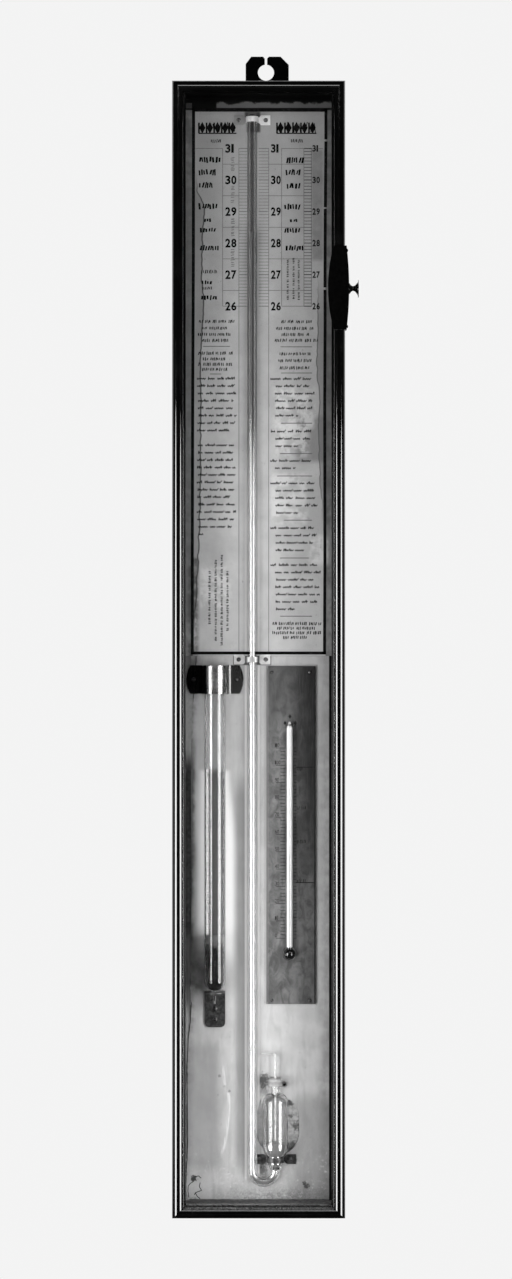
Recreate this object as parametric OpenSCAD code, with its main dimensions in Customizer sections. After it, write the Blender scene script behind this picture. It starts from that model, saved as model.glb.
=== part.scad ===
// Wall barometer in a glazed case. A siphon tube with a blown cistern runs down the middle,
// past a printed register, and a storm glass and a thermometer hang on either side of it.
// The origin is the centre of the hanging hole at the back of the case. +Z is up, -Y is the front.

/* [Case] */
// Width of the case behind the door
case_w = 134.4; // [131:0.2:150]
// Height of the case behind the door
case_h = 906.4; // [884:0.2:944]
// Depth of the case behind the door
case_depth = 36; // [34:0.5:44]
// Thickness of the case's side, top and bottom boards
wall = 7; // [6:0.5:8]
// Width of the ledge that the backboard lies on
ledge = 4; // [3.6:0.2:5]
// Thickness of the backboard
board_t = 10; // [9:0.5:12]
// How far the middle of the case lies to the left of the hanging hole
case_shift = 6; // [0:0.5:9]
// Drop from the hanging hole to the top of the case
case_drop = 15.4; // [14:0.1:20]

/* [Door] */
// How far the door stands past the case, all round
door_lap = 2; // [1.8:0.1:2.6]
// Space between the closed door and the case
door_gap = 0.5; // [0.4:0.05:0.8]
// Width of the door moulding
mould_w = 10.8; // [10.4:0.1:13]
// Thickness of the door at the crown of its half-round
mould_t = 13.5; // [13:0.1:16]
// Radius of the half-round
mould_r = 4.4; // [4:0.1:4.6]
// Flat lip between the door's outer edge and the half-round
mould_lip = 0.3; // [0.2:0.1:0.6]
// How far the inner fillet lies below the crown
fillet_drop = 5.2; // [4.6:0.1:6]
// Thickness of the pane
pane_t = 2; // [1.6:0.1:2.4]
// How far the pane goes in behind the moulding
pane_lap = 3; // [2.6:0.1:3.4]
// Depth from the back of the door to the front of the pane
pane_depth = 4.8; // [4.4:0.1:5.4]
// Width of the glazing beads
bead_w = 2.5; // [2:0.1:2.6]

/* [Hinges] */
// Length of a hinge
hinge_len = 32; // [26:1:45]
// Width of a hinge leaf, from the pin
leaf_w = 5.5; // [5:0.1:5.6]
// Thickness of a hinge leaf
leaf_t = 0.8; // [0.7:0.05:1]
// Outer radius of a hinge knuckle
knuckle_r = 1.5; // [1.35:0.05:1.6]
// Radius of a hinge pin
hinge_pin_r = 0.75; // [0.6:0.05:0.85]
// Distance from the end of the case to the middle of a hinge
hinge_inset = 110; // [70:5:180]

/* [Pull] */
// Drop from the hanging hole to the knob
pull_drop = 179.5; // [160:0.5:260]
// Height of the pull plate
pull_len = 67; // [55:1:80]
// Thickness of the pull plate
pull_t = 0.9; // [0.7:0.1:1.2]
// How far the plate's wing reaches past the moulding, over the pane
pull_wing = 3; // [1:0.5:5]
// Rise of the wing's curved edge
pull_rise = 4.5; // [3:0.5:6]
// How far the plate bows off the side of the door
pull_bow = 2; // [1:0.2:3]
// Depth of the plate's side
pull_depth = 12.5; // [10:0.5:12.6]
// Length of the knob
knob_len = 8.3; // [7:0.1:12]
// Radius of the knob's rim
knob_r = 7.5; // [6:0.1:9]
// Radius of the knob's foot
knob_foot_r = 4.3; // [3.6:0.1:5]
// Radius of the knob's neck
knob_neck_r = 1.95; // [1.9:0.05:2.6]
// Radius of the spindle through the knob's foot
spindle_r = 1.2; // [1:0.05:1.4]

/* [Hanger] */
// Width of the hanger plate
hanger_w = 35; // [31:0.5:42]
// Thickness of the hanger plate
hanger_t = 2; // [1.5:0.1:2.5]
// Height of the plate above the middle of its hole
hanger_rise = 12.9; // [11:0.1:16]
// Depth of the plate below the middle of its hole
hanger_fall = 58; // [50:1:70]
// Radius of the hanging hole
hanger_hole_r = 6.6; // [5:0.1:7]
// Width of the slit above the hole
hanger_slit = 1.9; // [1:0.1:2.4]
// How far the plate's middle lies to the right of the hole
hanger_shift = 1; // [0:0.5:3]

/* [Papers] */
// Thickness of the register and the lining paper
paper_t = 0.35; // [0.2:0.05:0.6]
// Height of the register
register_h = 449; // [430:1:460]
// Bare strip between the papers and the case's sides
paper_edge = 0.5; // [0.3:0.1:2]
// Bare strip above the register
paper_drop = 2.4; // [0.5:0.1:4]
// Bare strip at the right of the lining paper
lining_gap = 2.8; // [1:0.1:4]

/* [Barometer tube] */
// How far the tube lies to the left of the middle of the case
tube_offset = 5.2; // [4:0.1:7]
// Outer radius of the tube
tube_r = 4.05; // [3.6:0.05:4.4]
// Radius of the tube's bore
bore_r = 1.8; // [1.2:0.1:2.4]
// Drop from the top of the case to the top of the tube
tube_drop = 20.2; // [18:0.1:24]
// Radius of the U-bend, along the tube's middle
bend_r = 9.4; // [9.2:0.1:11]
// Height of the U-bend's lowest point above the floor of the case
bend_rise = 11.5; // [6:0.5:16]
// Outer radius of the cistern bulb
bulb_r = 10.3; // [9.4:0.1:10.6]
// Wall of the cistern bulb
bulb_wall = 1.2; // [0.8:0.1:1.5]
// Radius of the waist below the bulb
waist_r = 6; // [5.6:0.1:6.4]
// Height of the waist's straight part, where the clip holds it
waist_len = 6; // [5.4:0.1:7]
// Height of the bulb's straight middle
bulb_len = 35; // [28:0.5:40]
// Height of the bulb's round shoulder
shoulder_h = 7; // [5:0.5:9]
// Outer radius of the cistern's neck
neck_r = 3.6; // [3.2:0.1:4]
// Height of the cistern's neck
neck_h = 11.5; // [10:0.5:14]
// Height of the mercury in the bulb above the end of its round foot
level_rise = 2; // [0.5:0.5:6]
// Height of the mercury column above the mercury in the bulb
column_h = 738; // [700:1:760]
// Outer radius of the leather cap
cap_r = 5.7; // [5:0.1:6.5]
// Height of the leather cap
cap_h = 6.1; // [5:0.1:8]
// Radius of the rod through the cap
rod_r = 0.8; // [0.6:0.05:1]
// Height of the rod above the leather cap
rod_rise = 20; // [14:0.5:26]
// Reach of the rod's bent handle
handle_len = 11.5; // [8:0.5:12]

/* [Clips] */
// Thickness of the tube clips
clip_t = 0.6; // [0.4:0.05:0.9]
// Height of a clip's square tab
tab_h = 8; // [6.6:0.1:8]
// Height of a clip's strap over the tube
strap_h = 4.3; // [3:0.1:5]
// Length of a clip's square tab
tab_len = 7.6; // [6:0.1:8]
// Drop from the top of the case to the top clip
top_clip_drop = 24.6; // [22:0.1:30]

/* [Storm glass] */
// Distance from the case's left wall to the middle of the storm glass
storm_inset = 24.9; // [24.6:0.1:25.4]
// Outer radius of the storm glass
storm_r = 9; // [8:0.1:9.4]
// Wall of the storm glass
storm_wall = 1.3; // [1:0.1:1.8]
// Height of the storm glass without its tip
storm_len = 261.5; // [240:0.5:275]
// Length of the drawn tip
storm_tip = 10.6; // [8:0.2:14]
// Height of the liquid above the bottom of the glass
liquid_h = 180; // [120:1:220]
// Height of the crystals above the bottom of the glass
crystal_h = 46; // [10:1:70]
// Height of the strap
storm_strap_h = 23; // [18:0.5:26]
// Half of the strap's length
storm_strap_half = 23; // [21.5:0.1:23.6]
// Thickness of the strap
storm_strap_t = 0.9; // [0.6:0.1:1.2]
// Radius of the sweep from the strap's leg to its flange
storm_sweep = 3.5; // [2:0.1:4]
// Width of the foot bracket
bracket_w = 16.6; // [14:0.2:20]
// Height of the foot bracket
bracket_h = 29.5; // [24:0.5:34]
// Thickness of the foot bracket
bracket_t = 1.2; // [0.8:0.1:1.6]

/* [Thermometer] */
// Width of the thermometer plate
plate_w = 40; // [34:0.5:44]
// Height of the plate's foot above the top of the cistern's rod
plate_clear = 40; // [24:0.5:60]
// Thickness of the thermometer plate
plate_t = 1.5; // [1:0.1:2]
// Distance from the case's right wall to the plate
plate_inset = 14.1; // [10:0.1:14.4]
// Radius of the thermometer tube
stem_r = 2.4; // [2:0.1:2.8]
// Drop from the top of the plate to the tip of the tube
stem_drop = 45; // [30:0.5:60]
// Height of the middle of the bulb above the foot of the plate
stem_rise = 40.8; // [20:0.2:60]
// Radius of the thermometer bulb
stem_bulb_r = 4.75; // [4:0.05:5.2]
// Height of the fluid's thread above the middle of the bulb
thread_h = 88; // [20:1:130]

/* [Fastenings] */
// Radius of a round screw head
head_r = 1.8; // [1.4:0.1:2]
// Radius of the shank of a screw or pin
shank_r = 0.8; // [0.6:0.05:0.9]
// Radius of the hanger screws' heads
hanger_head_r = 3; // [2.4:0.1:3.4]
// Length of the fastenings that hold the instruments
pin_len = 6; // [4:0.5:7]

/* [Hidden] */
$fn = 64;

// Clearances: what lies in a seat, what turns or slides, what fills a bore, what rests on a face
seat_gap = 0.2;
run_gap = 0.05;
fill_gap = 0.05;
rest_gap = 0.3;
over = 1;

// Colours, as the photograph shows them
ebony = [0.06, 0.06, 0.06];
bare_wood = [0.36, 0.35, 0.33];
iron = [0.09, 0.09, 0.09];
brass = [0.62, 0.60, 0.55];
dull_brass = [0.42, 0.41, 0.38];
clear_glass = [0.82, 0.86, 0.86, 0.35];
old_paper = [0.60, 0.59, 0.56];
silver = [0.80, 0.80, 0.82];

// The case
case_x = -case_shift;
case_top = -case_drop;
case_bottom = case_top - case_h;
case_mid = (case_top + case_bottom) / 2;
case_left = case_x - case_w / 2;
case_right = case_x + case_w / 2;
inner_left = case_left + wall;
inner_right = case_right - wall;
ceiling = case_top - wall;
floor_z = case_bottom + wall;
board_w = case_w - 2 * (wall - ledge) - 2 * seat_gap;
board_h = case_h - 2 * (wall - ledge) - 2 * seat_gap;
board_top = case_top - wall + ledge - seat_gap;
paper_front = -board_t - paper_t;
clip_sweep = 2.2;
nail_r = 0.6;
nail_len = board_t + 8;
nail_head_r = 1.3;
nail_rows = 6;
nail_margin = 30;

// The door
door_w = case_w + 2 * door_lap;
door_h = case_h + 2 * door_lap;
door_back = -case_depth - door_gap;
door_right = case_x + door_w / 2;
fillet_t = mould_t - fillet_drop;
pane_rebate = mould_w - pane_lap;
pane_back = pane_depth - pane_t;

// The hinges turn about the case's front left corner
hinge_x = case_left;
hinge_y = -case_depth - door_gap / 2;
hinge_room = 0.25;
knuckle_gap = 0.2;
leaf_screw_x = leaf_w * 0.62;
leaf_head_r = 1.2;
leaf_shank_r = 0.6;
leaf_screw_len = 6.5;

// The pull
pull_front = door_back - mould_t - pull_t - seat_gap;
knob_y = door_back - 6;
knob_x = door_right + seat_gap + pull_t + pull_bow + run_gap;
spindle_in = 6;

// The barometer tube. Heights along the cistern run from the end of the U-bend up.
tube_x = case_x - tube_offset;
tube_y = paper_front - rest_gap - tube_r;
tube_top = case_top - tube_drop;
bend_z = floor_z + bend_rise + bend_r + tube_r;
bulb_x = tube_x + 2 * bend_r;
waist_z = bend_z + 5.4;
body_z = waist_z + waist_len + 8;
shoulder_z = body_z + bulb_len;
neck_z = shoulder_z + shoulder_h;
neck_top = neck_z + neck_h;
level_z = body_z + level_rise;
cap_top = neck_top + 1.2;
top_clip_z = case_top - top_clip_drop;
clip_waist_z = waist_z + waist_len / 2;
hollow_r = bulb_r + 7;

// The storm glass
storm_x = inner_left + storm_inset;
storm_y = paper_front - rest_gap - storm_r;
register_foot = ceiling - paper_drop - register_h;
storm_top = register_foot - 9.5;
storm_foot = storm_top - storm_len;
strap_z = register_foot - 7.7 - storm_strap_h / 2;
middle_clip_z = register_foot - 3;
bracket_top = storm_foot - rest_gap;

// The thermometer
plate_right = inner_right - plate_inset;
plate_x = plate_right - plate_w / 2;
plate_top = register_foot - 8.3;
plate_front = paper_front - plate_t;
stem_x = plate_x - 1;
stem_y = plate_front - seat_gap - stem_r;
plate_h = plate_top - (cap_top + rod_rise + plate_clear);
stem_tip = plate_top - stem_drop;
stem_foot = plate_top - plate_h + stem_rise;
stem_len = stem_tip - stem_foot;
stem_bore = 0.4;
staple_r = 0.45;
staple_z = stem_tip - 2.6;

// Radius of an arc with this half chord and rise
function arc_r(half, rise) = (half * half + rise * rise) / (2 * rise);

// Smooth step from 0 to 1
function ease(t) = (1 - cos(180 * t)) / 2;

// One side of the cistern, as [radius, height] points from the U-bend up. Radii shrink by
// inset, and the line starts at start_r.
function cistern_line(start_r, inset, steps = 10) = concat(
    [for (i = [0:steps])
        [start_r + (waist_r - inset - start_r) * ease(i / steps), bend_z + (waist_z - bend_z) * i / steps]],
    [for (i = [0:steps])
        [waist_r - inset + (bulb_r - waist_r) * sin(90 * i / steps),
            body_z - (body_z - waist_z - waist_len) * cos(90 * i / steps)]],
    [for (i = [0:steps])
        [neck_r - inset + (bulb_r - neck_r) * cos(90 * i / steps),
            shoulder_z + (shoulder_h - inset) * sin(90 * i / steps)]],
    [[neck_r - inset, neck_top]]
);

// The same points from the last to the first
function turned(points) = [for (i = [len(points) - 1:-1:0]) points[i]];

// A straight bar with 45 degree mitres at both ends. Its outer edge lies along X at Y = 0, its
// back at Z = 0, and its section is the child.
module mitred_bar(length, width, height) {
    intersection() {
        rotate([90, 0, 90])
            linear_extrude(length, center = true)
                children();
        translate([0, 0, -over])
            linear_extrude(height + 2 * over)
                polygon([
                    [-length / 2, 0], [length / 2, 0],
                    [length / 2 - width, width], [-length / 2 + width, width]
                ]);
    }
}

// Puts a bar at one side of a frame round the case's middle: 0 bottom, 90 left, 180 top, 270 right
module frame_side(turn, across, back) {
    translate([case_x, back, case_mid])
        rotate([0, turn, 0])
            translate([0, 0, -across / 2])
                rotate([90, 0, 0])
                    children();
}

// A wood screw with a flat head, its head's top at the origin, pointing down -Z
module flat_screw(radius, shank, length, room = 0) {
    cone_h = radius - shank;
    translate([0, 0, -cone_h])
        cylinder(h = cone_h, r1 = shank + room, r2 = radius + room);
    translate([0, 0, -length - room])
        cylinder(h = length + room, r = shank + room);
}

// The same screw with its slot cut
module slotted_flat_screw(radius, shank, length) {
    difference() {
        flat_screw(radius, shank, length);
        translate([0, 0, -0.1])
            cube([radius * 3, radius * 0.3, 0.6], center = true);
    }
}

// A round-headed screw, the underside of its head at the origin, pointing down -Z
module round_screw(radius, shank, length) {
    cap = radius * 0.6;
    ball = arc_r(radius, cap);
    difference() {
        intersection() {
            translate([0, 0, cap - ball])
                sphere(ball);
            cylinder(h = cap + over, r = radius + over);
        }
        translate([0, 0, cap])
            cube([radius * 3, radius * 0.3, cap], center = true);
    }
    translate([0, 0, -length])
        cylinder(h = length, r = shank);
}

// The hole for a round shank, open at its top
module pin_hole(shank, length) {
    translate([0, 0, -length - seat_gap])
        cylinder(h = length + seat_gap + over, r = shank + run_gap);
}

// Turns what points down -Z so that it goes into the backboard from the front
module from_front() {
    rotate([90, 0, 0])
        children();
}

// Turns what points down -Z so that it goes in from the back
module from_back() {
    rotate([-90, 0, 0])
        children();
}

// The case's boards: a plain section with a ledge for the backboard
module case_section() {
    difference() {
        square([wall, case_depth]);
        translate([wall - ledge, -over])
            square([ledge + over, board_t + over]);
    }
}

module case_board(turn, length, across) {
    frame_side(turn, across, 0)
        mitred_bar(length, wall, case_depth)
            case_section();
}

module at_side_nails() {
    step = (board_h - 2 * nail_margin) / (nail_rows - 1);
    for (side = [-1, 1])
        for (i = [0:nail_rows - 1])
            translate([
                case_x + side * (case_w / 2 - wall + ledge / 2),
                0,
                board_top - nail_margin - i * step
            ])
                children();
}

module nail_holes() {
    at_side_nails()
        from_back()
            flat_screw(nail_head_r, nail_r, nail_len, run_gap);
}

module backboard_nails() {
    color(iron)
        at_side_nails()
            from_back()
                flat_screw(nail_head_r, nail_r, nail_len);
}

module backboard() {
    color(bare_wood)
        difference() {
            translate([case_x - board_w / 2, -board_t, board_top - board_h])
                cube([board_w, board_t, board_h]);
            hanger_notch();
            hanger_screw_holes();
            nail_holes();
            cistern_hollow();
            at_stem_bulb()
                sphere(stem_bulb_r + rest_gap);
            front_pin_holes();
        }
}

module case_side_left() {
    color(ebony)
        difference() {
            case_board(90, case_h, case_w);
            at_hinges()
                hinge_housing(1);
            nail_holes();
        }
}

module case_side_right() {
    color(ebony)
        difference() {
            case_board(270, case_h, case_w);
            nail_holes();
        }
}

module case_top() {
    color(ebony)
        difference() {
            case_board(180, case_w, case_h);
            hanger_notch();
        }
}

module case_bottom() {
    color(ebony)
        case_board(0, case_w, case_h);
}

// The hanger plate is let into the back of the case's top and of the backboard
module hanger_notch() {
    translate([hanger_shift - hanger_w / 2 - seat_gap, -hanger_t, -hanger_fall - seat_gap])
        cube([hanger_w + 2 * seat_gap, hanger_t + over, hanger_fall + hanger_rise]);
}

module at_hanger_screws() {
    for (side = [-1, 1])
        for (drop = [hanger_fall * 0.53, hanger_fall * 0.84])
            translate([hanger_shift + side * hanger_w * 0.3, 0, -drop])
                from_back()
                    children();
}

module hanger_screw_holes() {
    at_hanger_screws()
        flat_screw(hanger_head_r, hanger_head_r / 2, board_t - 2, run_gap);
}

module hanger_plate() {
    left_clip = hanger_w * 0.13;
    right_clip = hanger_w * 0.19;
    half = hanger_w / 2;
    color(iron)
        difference() {
            rotate([90, 0, 0])
                linear_extrude(hanger_t)
                    difference() {
                        translate([hanger_shift, 0])
                            polygon([
                                [-half, -hanger_fall],
                                [half, -hanger_fall],
                                [half, hanger_rise - right_clip],
                                [half - right_clip, hanger_rise],
                                [-half + left_clip, hanger_rise],
                                [-half, hanger_rise - left_clip * 1.3]
                            ]);
                        hanging_hole();
                    }
            hanger_screw_holes();
        }
}

// The hole, and the slit above it with its bevelled mouth
module hanging_hole() {
    circle(hanger_hole_r);
    translate([-hanger_slit / 2, 0])
        square([hanger_slit, hanger_rise + over]);
    polygon([
        [-hanger_slit / 2 - 1.6, hanger_rise + 0.1], [hanger_slit / 2 + 1.6, hanger_rise + 0.1],
        [hanger_slit / 2, hanger_rise - 1.6], [-hanger_slit / 2, hanger_rise - 1.6]
    ]);
}

module hanger_screws() {
    color(dull_brass)
        at_hanger_screws()
            slotted_flat_screw(hanger_head_r, hanger_head_r / 2, board_t - 2);
}

// The door moulding: a half-round, a quirk, and a bevelled fillet at the sight edge
module door_section() {
    bevel = 1;
    quirk = 0.4;
    difference() {
        union() {
            polygon([
                [0, 0], [mould_w, 0], [mould_w, fillet_t - bevel],
                [mould_w - bevel, fillet_t], [0, fillet_t]
            ]);
            translate([mould_lip, 0])
                square([mould_r * 2, mould_t - mould_r]);
            translate([mould_lip + mould_r, mould_t - mould_r])
                circle(mould_r);
        }
        translate([mould_lip + 2 * mould_r + quirk / 2, fillet_t])
            circle(quirk, $fn = 24);
        translate([pane_rebate, -over])
            square([pane_lap + over, pane_depth + over]);
    }
}

module door_bar(turn, length, across) {
    frame_side(turn, across, door_back)
        mitred_bar(length, mould_w, mould_t)
            door_section();
}

module door_stile_left() {
    color(ebony)
        difference() {
            door_bar(90, door_h, door_w);
            at_hinges()
                hinge_housing(-1);
        }
}

module door_stile_right() {
    color(ebony)
        difference() {
            door_bar(270, door_h, door_w);
            at_pull_pins()
                pin_hole(shank_r, pin_len);
            at_knob()
                translate([0, 0, -knob_x + door_right])
                    pin_hole(spindle_r, spindle_in);
        }
}

module door_rail_top() {
    color(ebony)
        door_bar(180, door_w, door_h);
}

module door_rail_bottom() {
    color(ebony)
        door_bar(0, door_w, door_h);
}

module door_pane() {
    edge = 2 * (pane_rebate + seat_gap);
    color(clear_glass)
        translate([case_x, door_back - pane_back - pane_t / 2, case_mid])
            cube([door_w - edge, pane_t, door_h - edge], center = true);
}

module glazing_bead(turn, length, across) {
    edge = 2 * (pane_rebate + run_gap);
    frame_side(turn, across - edge, door_back - seat_gap)
        mitred_bar(length - edge, bead_w, pane_back)
            square([bead_w, pane_back - seat_gap]);
}

module glazing_bead_sides() {
    color(bare_wood) {
        glazing_bead(90, door_h, door_w);
        glazing_bead(270, door_h, door_w);
    }
}

module glazing_bead_ends() {
    color(bare_wood) {
        glazing_bead(0, door_w, door_h);
        glazing_bead(180, door_w, door_h);
    }
}

// The hinges. A leaf is on the case (side 1) or on the door (side -1).
module at_hinges() {
    for (z = [case_top - hinge_inset, case_bottom + hinge_inset])
        translate([hinge_x, hinge_y, z])
            children();
}

module at_leaf_screws(side) {
    for (i = [-1:1])
        translate([leaf_screw_x, side * door_gap / 2, i * hinge_len * 0.34])
            rotate([side * 90, 0, 0])
                children();
}

module middle_knuckle(radius, room) {
    cylinder(h = hinge_len / 3 - knuckle_gap + room, r = radius, center = true);
}

module outer_knuckles(radius, room) {
    h = hinge_len / 3 - knuckle_gap / 2 + room;
    for (end = [-1, 1])
        translate([0, 0, end * (hinge_len / 2 - h / 2 + room / 2)])
            cylinder(h = h, r = radius, center = true);
}

module hinge_leaf(side) {
    room = 2 * knuckle_gap;
    difference() {
        union() {
            if (side == 1)
                outer_knuckles(knuckle_r, 0);
            else
                middle_knuckle(knuckle_r, 0);
            translate([leaf_w / 2, side * (door_gap + leaf_t) / 2, 0])
                cube([leaf_w, leaf_t, hinge_len], center = true);
        }
        cylinder(h = hinge_len + 2 * over, r = hinge_pin_r + run_gap, center = true);
        if (side == 1)
            middle_knuckle(knuckle_r + knuckle_gap, room);
        else
            outer_knuckles(knuckle_r + knuckle_gap, room);
        at_leaf_screws(side)
            flat_screw(leaf_head_r, leaf_shank_r, leaf_screw_len, run_gap);
    }
}

// The wood cut away for a leaf, its knuckles and its screws
module hinge_housing(side) {
    tall = hinge_len + 2 * seat_gap;
    barrel = knuckle_r + hinge_room;
    recess = leaf_t + door_gap / 2;
    cylinder(h = tall, r = barrel, center = true);
    translate([-over, side > 0 ? 0 : -recess, -tall / 2])
        cube([leaf_w + seat_gap + over, recess, tall]);
    if (side < 0)
        translate([-door_lap - over, -barrel, -tall / 2])
            cube([door_lap + over, barrel, tall]);
    at_leaf_screws(side)
        flat_screw(leaf_head_r, leaf_shank_r, leaf_screw_len, run_gap);
}

module hinge_case_leaves() {
    color(dull_brass)
        at_hinges()
            hinge_leaf(1);
}

module hinge_door_leaves() {
    color(dull_brass)
        at_hinges()
            hinge_leaf(-1);
}

module hinge_pins() {
    color(dull_brass)
        at_hinges()
            cylinder(h = hinge_len, r = hinge_pin_r, center = true);
}

module hinge_case_screws() {
    color(dull_brass)
        at_hinges()
            at_leaf_screws(1)
                slotted_flat_screw(leaf_head_r, leaf_shank_r, leaf_screw_len);
}

module hinge_door_screws() {
    color(dull_brass)
        at_hinges()
            at_leaf_screws(-1)
                slotted_flat_screw(leaf_head_r, leaf_shank_r, leaf_screw_len);
}

// The pull plate lies over the right stile. Its front is a lens, its right side bows off the
// door, and the knob stands on the bow.
module pull_lens(shrink, length) {
    left_r = arc_r(pull_len / 2, pull_rise);
    right_r = arc_r(pull_len / 2, pull_bow);
    left_crest = door_right - mould_w - pull_wing;
    right_crest = door_right + seat_gap + pull_t + pull_bow;
    intersection() {
        translate([left_crest + left_r, 0])
            circle(left_r, $fn = 180);
        translate([right_crest - right_r, 0])
            circle(right_r - shrink, $fn = 240);
        translate([left_crest - over, -length / 2])
            square([right_crest - left_crest + 2 * over, length]);
    }
}

module at_pull(y) {
    translate([0, y, -pull_drop])
        rotate([90, 0, 0])
            children();
}

// Stands the child's -Z along the knob's axis, towards the stile, with the knob's foot at the origin
module at_knob() {
    translate([knob_x, knob_y, -pull_drop])
        rotate([0, 90, 0])
            children();
}

module at_pull_pins() {
    for (side = [-1, 1])
        translate([door_right, knob_y, -pull_drop + side * (pull_len / 2 - 3)])
            rotate([0, 90, 0])
                children();
}

module pull_plate() {
    left_edge = door_right - mould_w - pull_wing;
    color(iron)
        difference() {
            at_pull(pull_front + pull_depth)
                linear_extrude(pull_depth)
                    pull_lens(0, pull_len);
            at_pull(pull_front + pull_depth + over)
                linear_extrude(pull_depth - pull_t + over)
                    pull_lens(pull_t, pull_len + 2 * over);
            translate([left_edge - over, pull_front + pull_t, -pull_drop - pull_len])
                cube([mould_w, pull_depth + over, 2 * pull_len]);
            at_pull_pins()
                cylinder(h = 12, r = shank_r + run_gap, center = true);
            at_knob()
                cylinder(h = 12, r = spindle_r + run_gap, center = true);
        }
}

module pull_plate_pins() {
    head_z = seat_gap + pull_t + pull_bow * 0.28;
    color(iron)
        at_pull_pins()
            translate([0, 0, head_z])
                round_screw(head_r * 0.8, shank_r, pin_len - 0.5 + head_z);
}

// Turned knob: a low foot, a narrow neck, and a trumpet that opens to a slightly domed face
module knob() {
    foot_h = 0.9;
    neck_h = knob_len * 0.38;
    rim_h = knob_len * 0.84;
    steps = 12;
    color(ebony)
        at_knob()
            difference() {
                rotate_extrude()
                    polygon(concat(
                        [[0, 0], [knob_foot_r, 0], [knob_foot_r - 0.2, foot_h]],
                        [for (i = [1:steps])
                            [knob_neck_r + (knob_foot_r - 0.5 - knob_neck_r) * (1 - sin(90 * i / steps)),
                                foot_h + (neck_h - foot_h) * i / steps]],
                        [for (i = [1:steps])
                            [knob_neck_r + (knob_r - knob_neck_r) * (1 - cos(90 * i / steps)),
                                neck_h + (rim_h - neck_h) * sin(90 * i / steps)]],
                        [for (i = [0:steps])
                            [(knob_r - 0.15) * cos(90 * i / steps),
                                rim_h + 0.3 + (knob_len - rim_h - 0.3) * sin(90 * i / steps)]]
                    ));
                translate([0, 0, -over])
                    cylinder(h = knob_len / 2 + over, r = spindle_r + run_gap);
            }
}

module knob_spindle() {
    stand = knob_x - door_right;
    color(dull_brass)
        at_knob()
            translate([0, 0, -stand - spindle_in])
                cylinder(h = stand + spindle_in + knob_len / 2 - seat_gap, r = spindle_r);
}

// Both papers lie on the backboard, with an opening over the cistern's hollow
module register_paper() {
    color(old_paper)
        difference() {
            translate([inner_left + paper_edge, paper_front, register_foot])
                cube([inner_right - inner_left - 2 * paper_edge, paper_t, register_h]);
            front_pin_holes();
        }
}

module lining_paper() {
    // Bare board at the torn left edge, as [height above the floor, width]
    tear = [[1, 0.8], [78, 0.9], [120, 2.4], [158, 4.4], [250, 5.9], [352, 5.3], [405, 7]];
    top = register_foot - floor_z - seat_gap;
    right = inner_right - inner_left - lining_gap;
    color(old_paper)
        difference() {
            translate([inner_left, -board_t, floor_z])
                rotate([90, 0, 0])
                    linear_extrude(paper_t)
                        polygon(concat(
                            [for (p = tear) if (p[0] < top - 5) [p[1], p[0]]],
                            [[tear[6][1] - 1.5, top], [right, top], [right, 1]]
                        ));
            cistern_hollow();
            at_stem_bulb()
                sphere(stem_bulb_r + rest_gap);
            front_pin_holes();
        }
}

module front_pin_holes() {
    at_front_pins()
        from_front()
            pin_hole(shank_r, pin_len);
}

// The hollow carved in the board behind the bulb, narrowing along the waist to the U-bend
module cistern_hollow() {
    x = bulb_x + 2;
    top = shoulder_z + 5;
    foot = waist_z + waist_len + 0.6;
    depth = bulb_r - (tube_r + rest_gap) + 1.2;
    room = 0.8;
    translate([0, -board_t + depth, 0])
        rotate([90, 0, 0])
            linear_extrude(depth + paper_t + over) {
                translate([x - hollow_r, foot + hollow_r])
                    square([2 * hollow_r, top - foot - 2 * hollow_r]);
                translate([x, foot + hollow_r])
                    circle(hollow_r);
                translate([x, top - hollow_r])
                    circle(hollow_r);
            }
    at_bulb(0)
        rotate_extrude()
            polygon(concat(
                [[0, bend_z]],
                cistern_line(tube_r + room, -room),
                [[0, neck_top]]
            ));
    at_bulb(cap_top - cap_h - 1)
        cylinder(h = cap_h + 2, r = cap_r + 0.4);
}

// The siphon tube: leg, U-bend and blown cistern are one piece of glass
module u_bend() {
    translate([tube_x + bend_r, tube_y, bend_z])
        rotate([-90, 0, 0])
            rotate_extrude(angle = 180)
                translate([bend_r, 0])
                    children();
}

module long_leg(radius, top) {
    translate([tube_x, tube_y, bend_z])
        cylinder(h = top - bend_z, r = radius);
    translate([tube_x, tube_y, top])
        sphere(radius);
}

module at_bulb(z) {
    translate([bulb_x, tube_y, z])
        children();
}

module barometer_tube() {
    color(clear_glass) {
        difference() {
            long_leg(tube_r, tube_top - tube_r);
            long_leg(bore_r, tube_top - tube_r);
        }
        u_bend()
            difference() {
                circle(tube_r);
                circle(bore_r);
            }
        at_bulb(0)
            rotate_extrude()
                polygon(concat(cistern_line(tube_r, 0), turned(cistern_line(bore_r, bulb_wall))));
    }
}

module mercury() {
    thread = bore_r - fill_gap;
    color(silver) {
        long_leg(thread, level_z + column_h - thread);
        u_bend()
            circle(thread);
        intersection() {
            at_bulb(0)
                rotate_extrude()
                    polygon(concat(
                        [[0, bend_z]],
                        cistern_line(thread, bulb_wall + fill_gap),
                        [[0, neck_top]]
                    ));
            at_bulb(bend_z)
                cylinder(h = level_z - bend_z, r = bulb_r);
        }
    }
}

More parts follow.
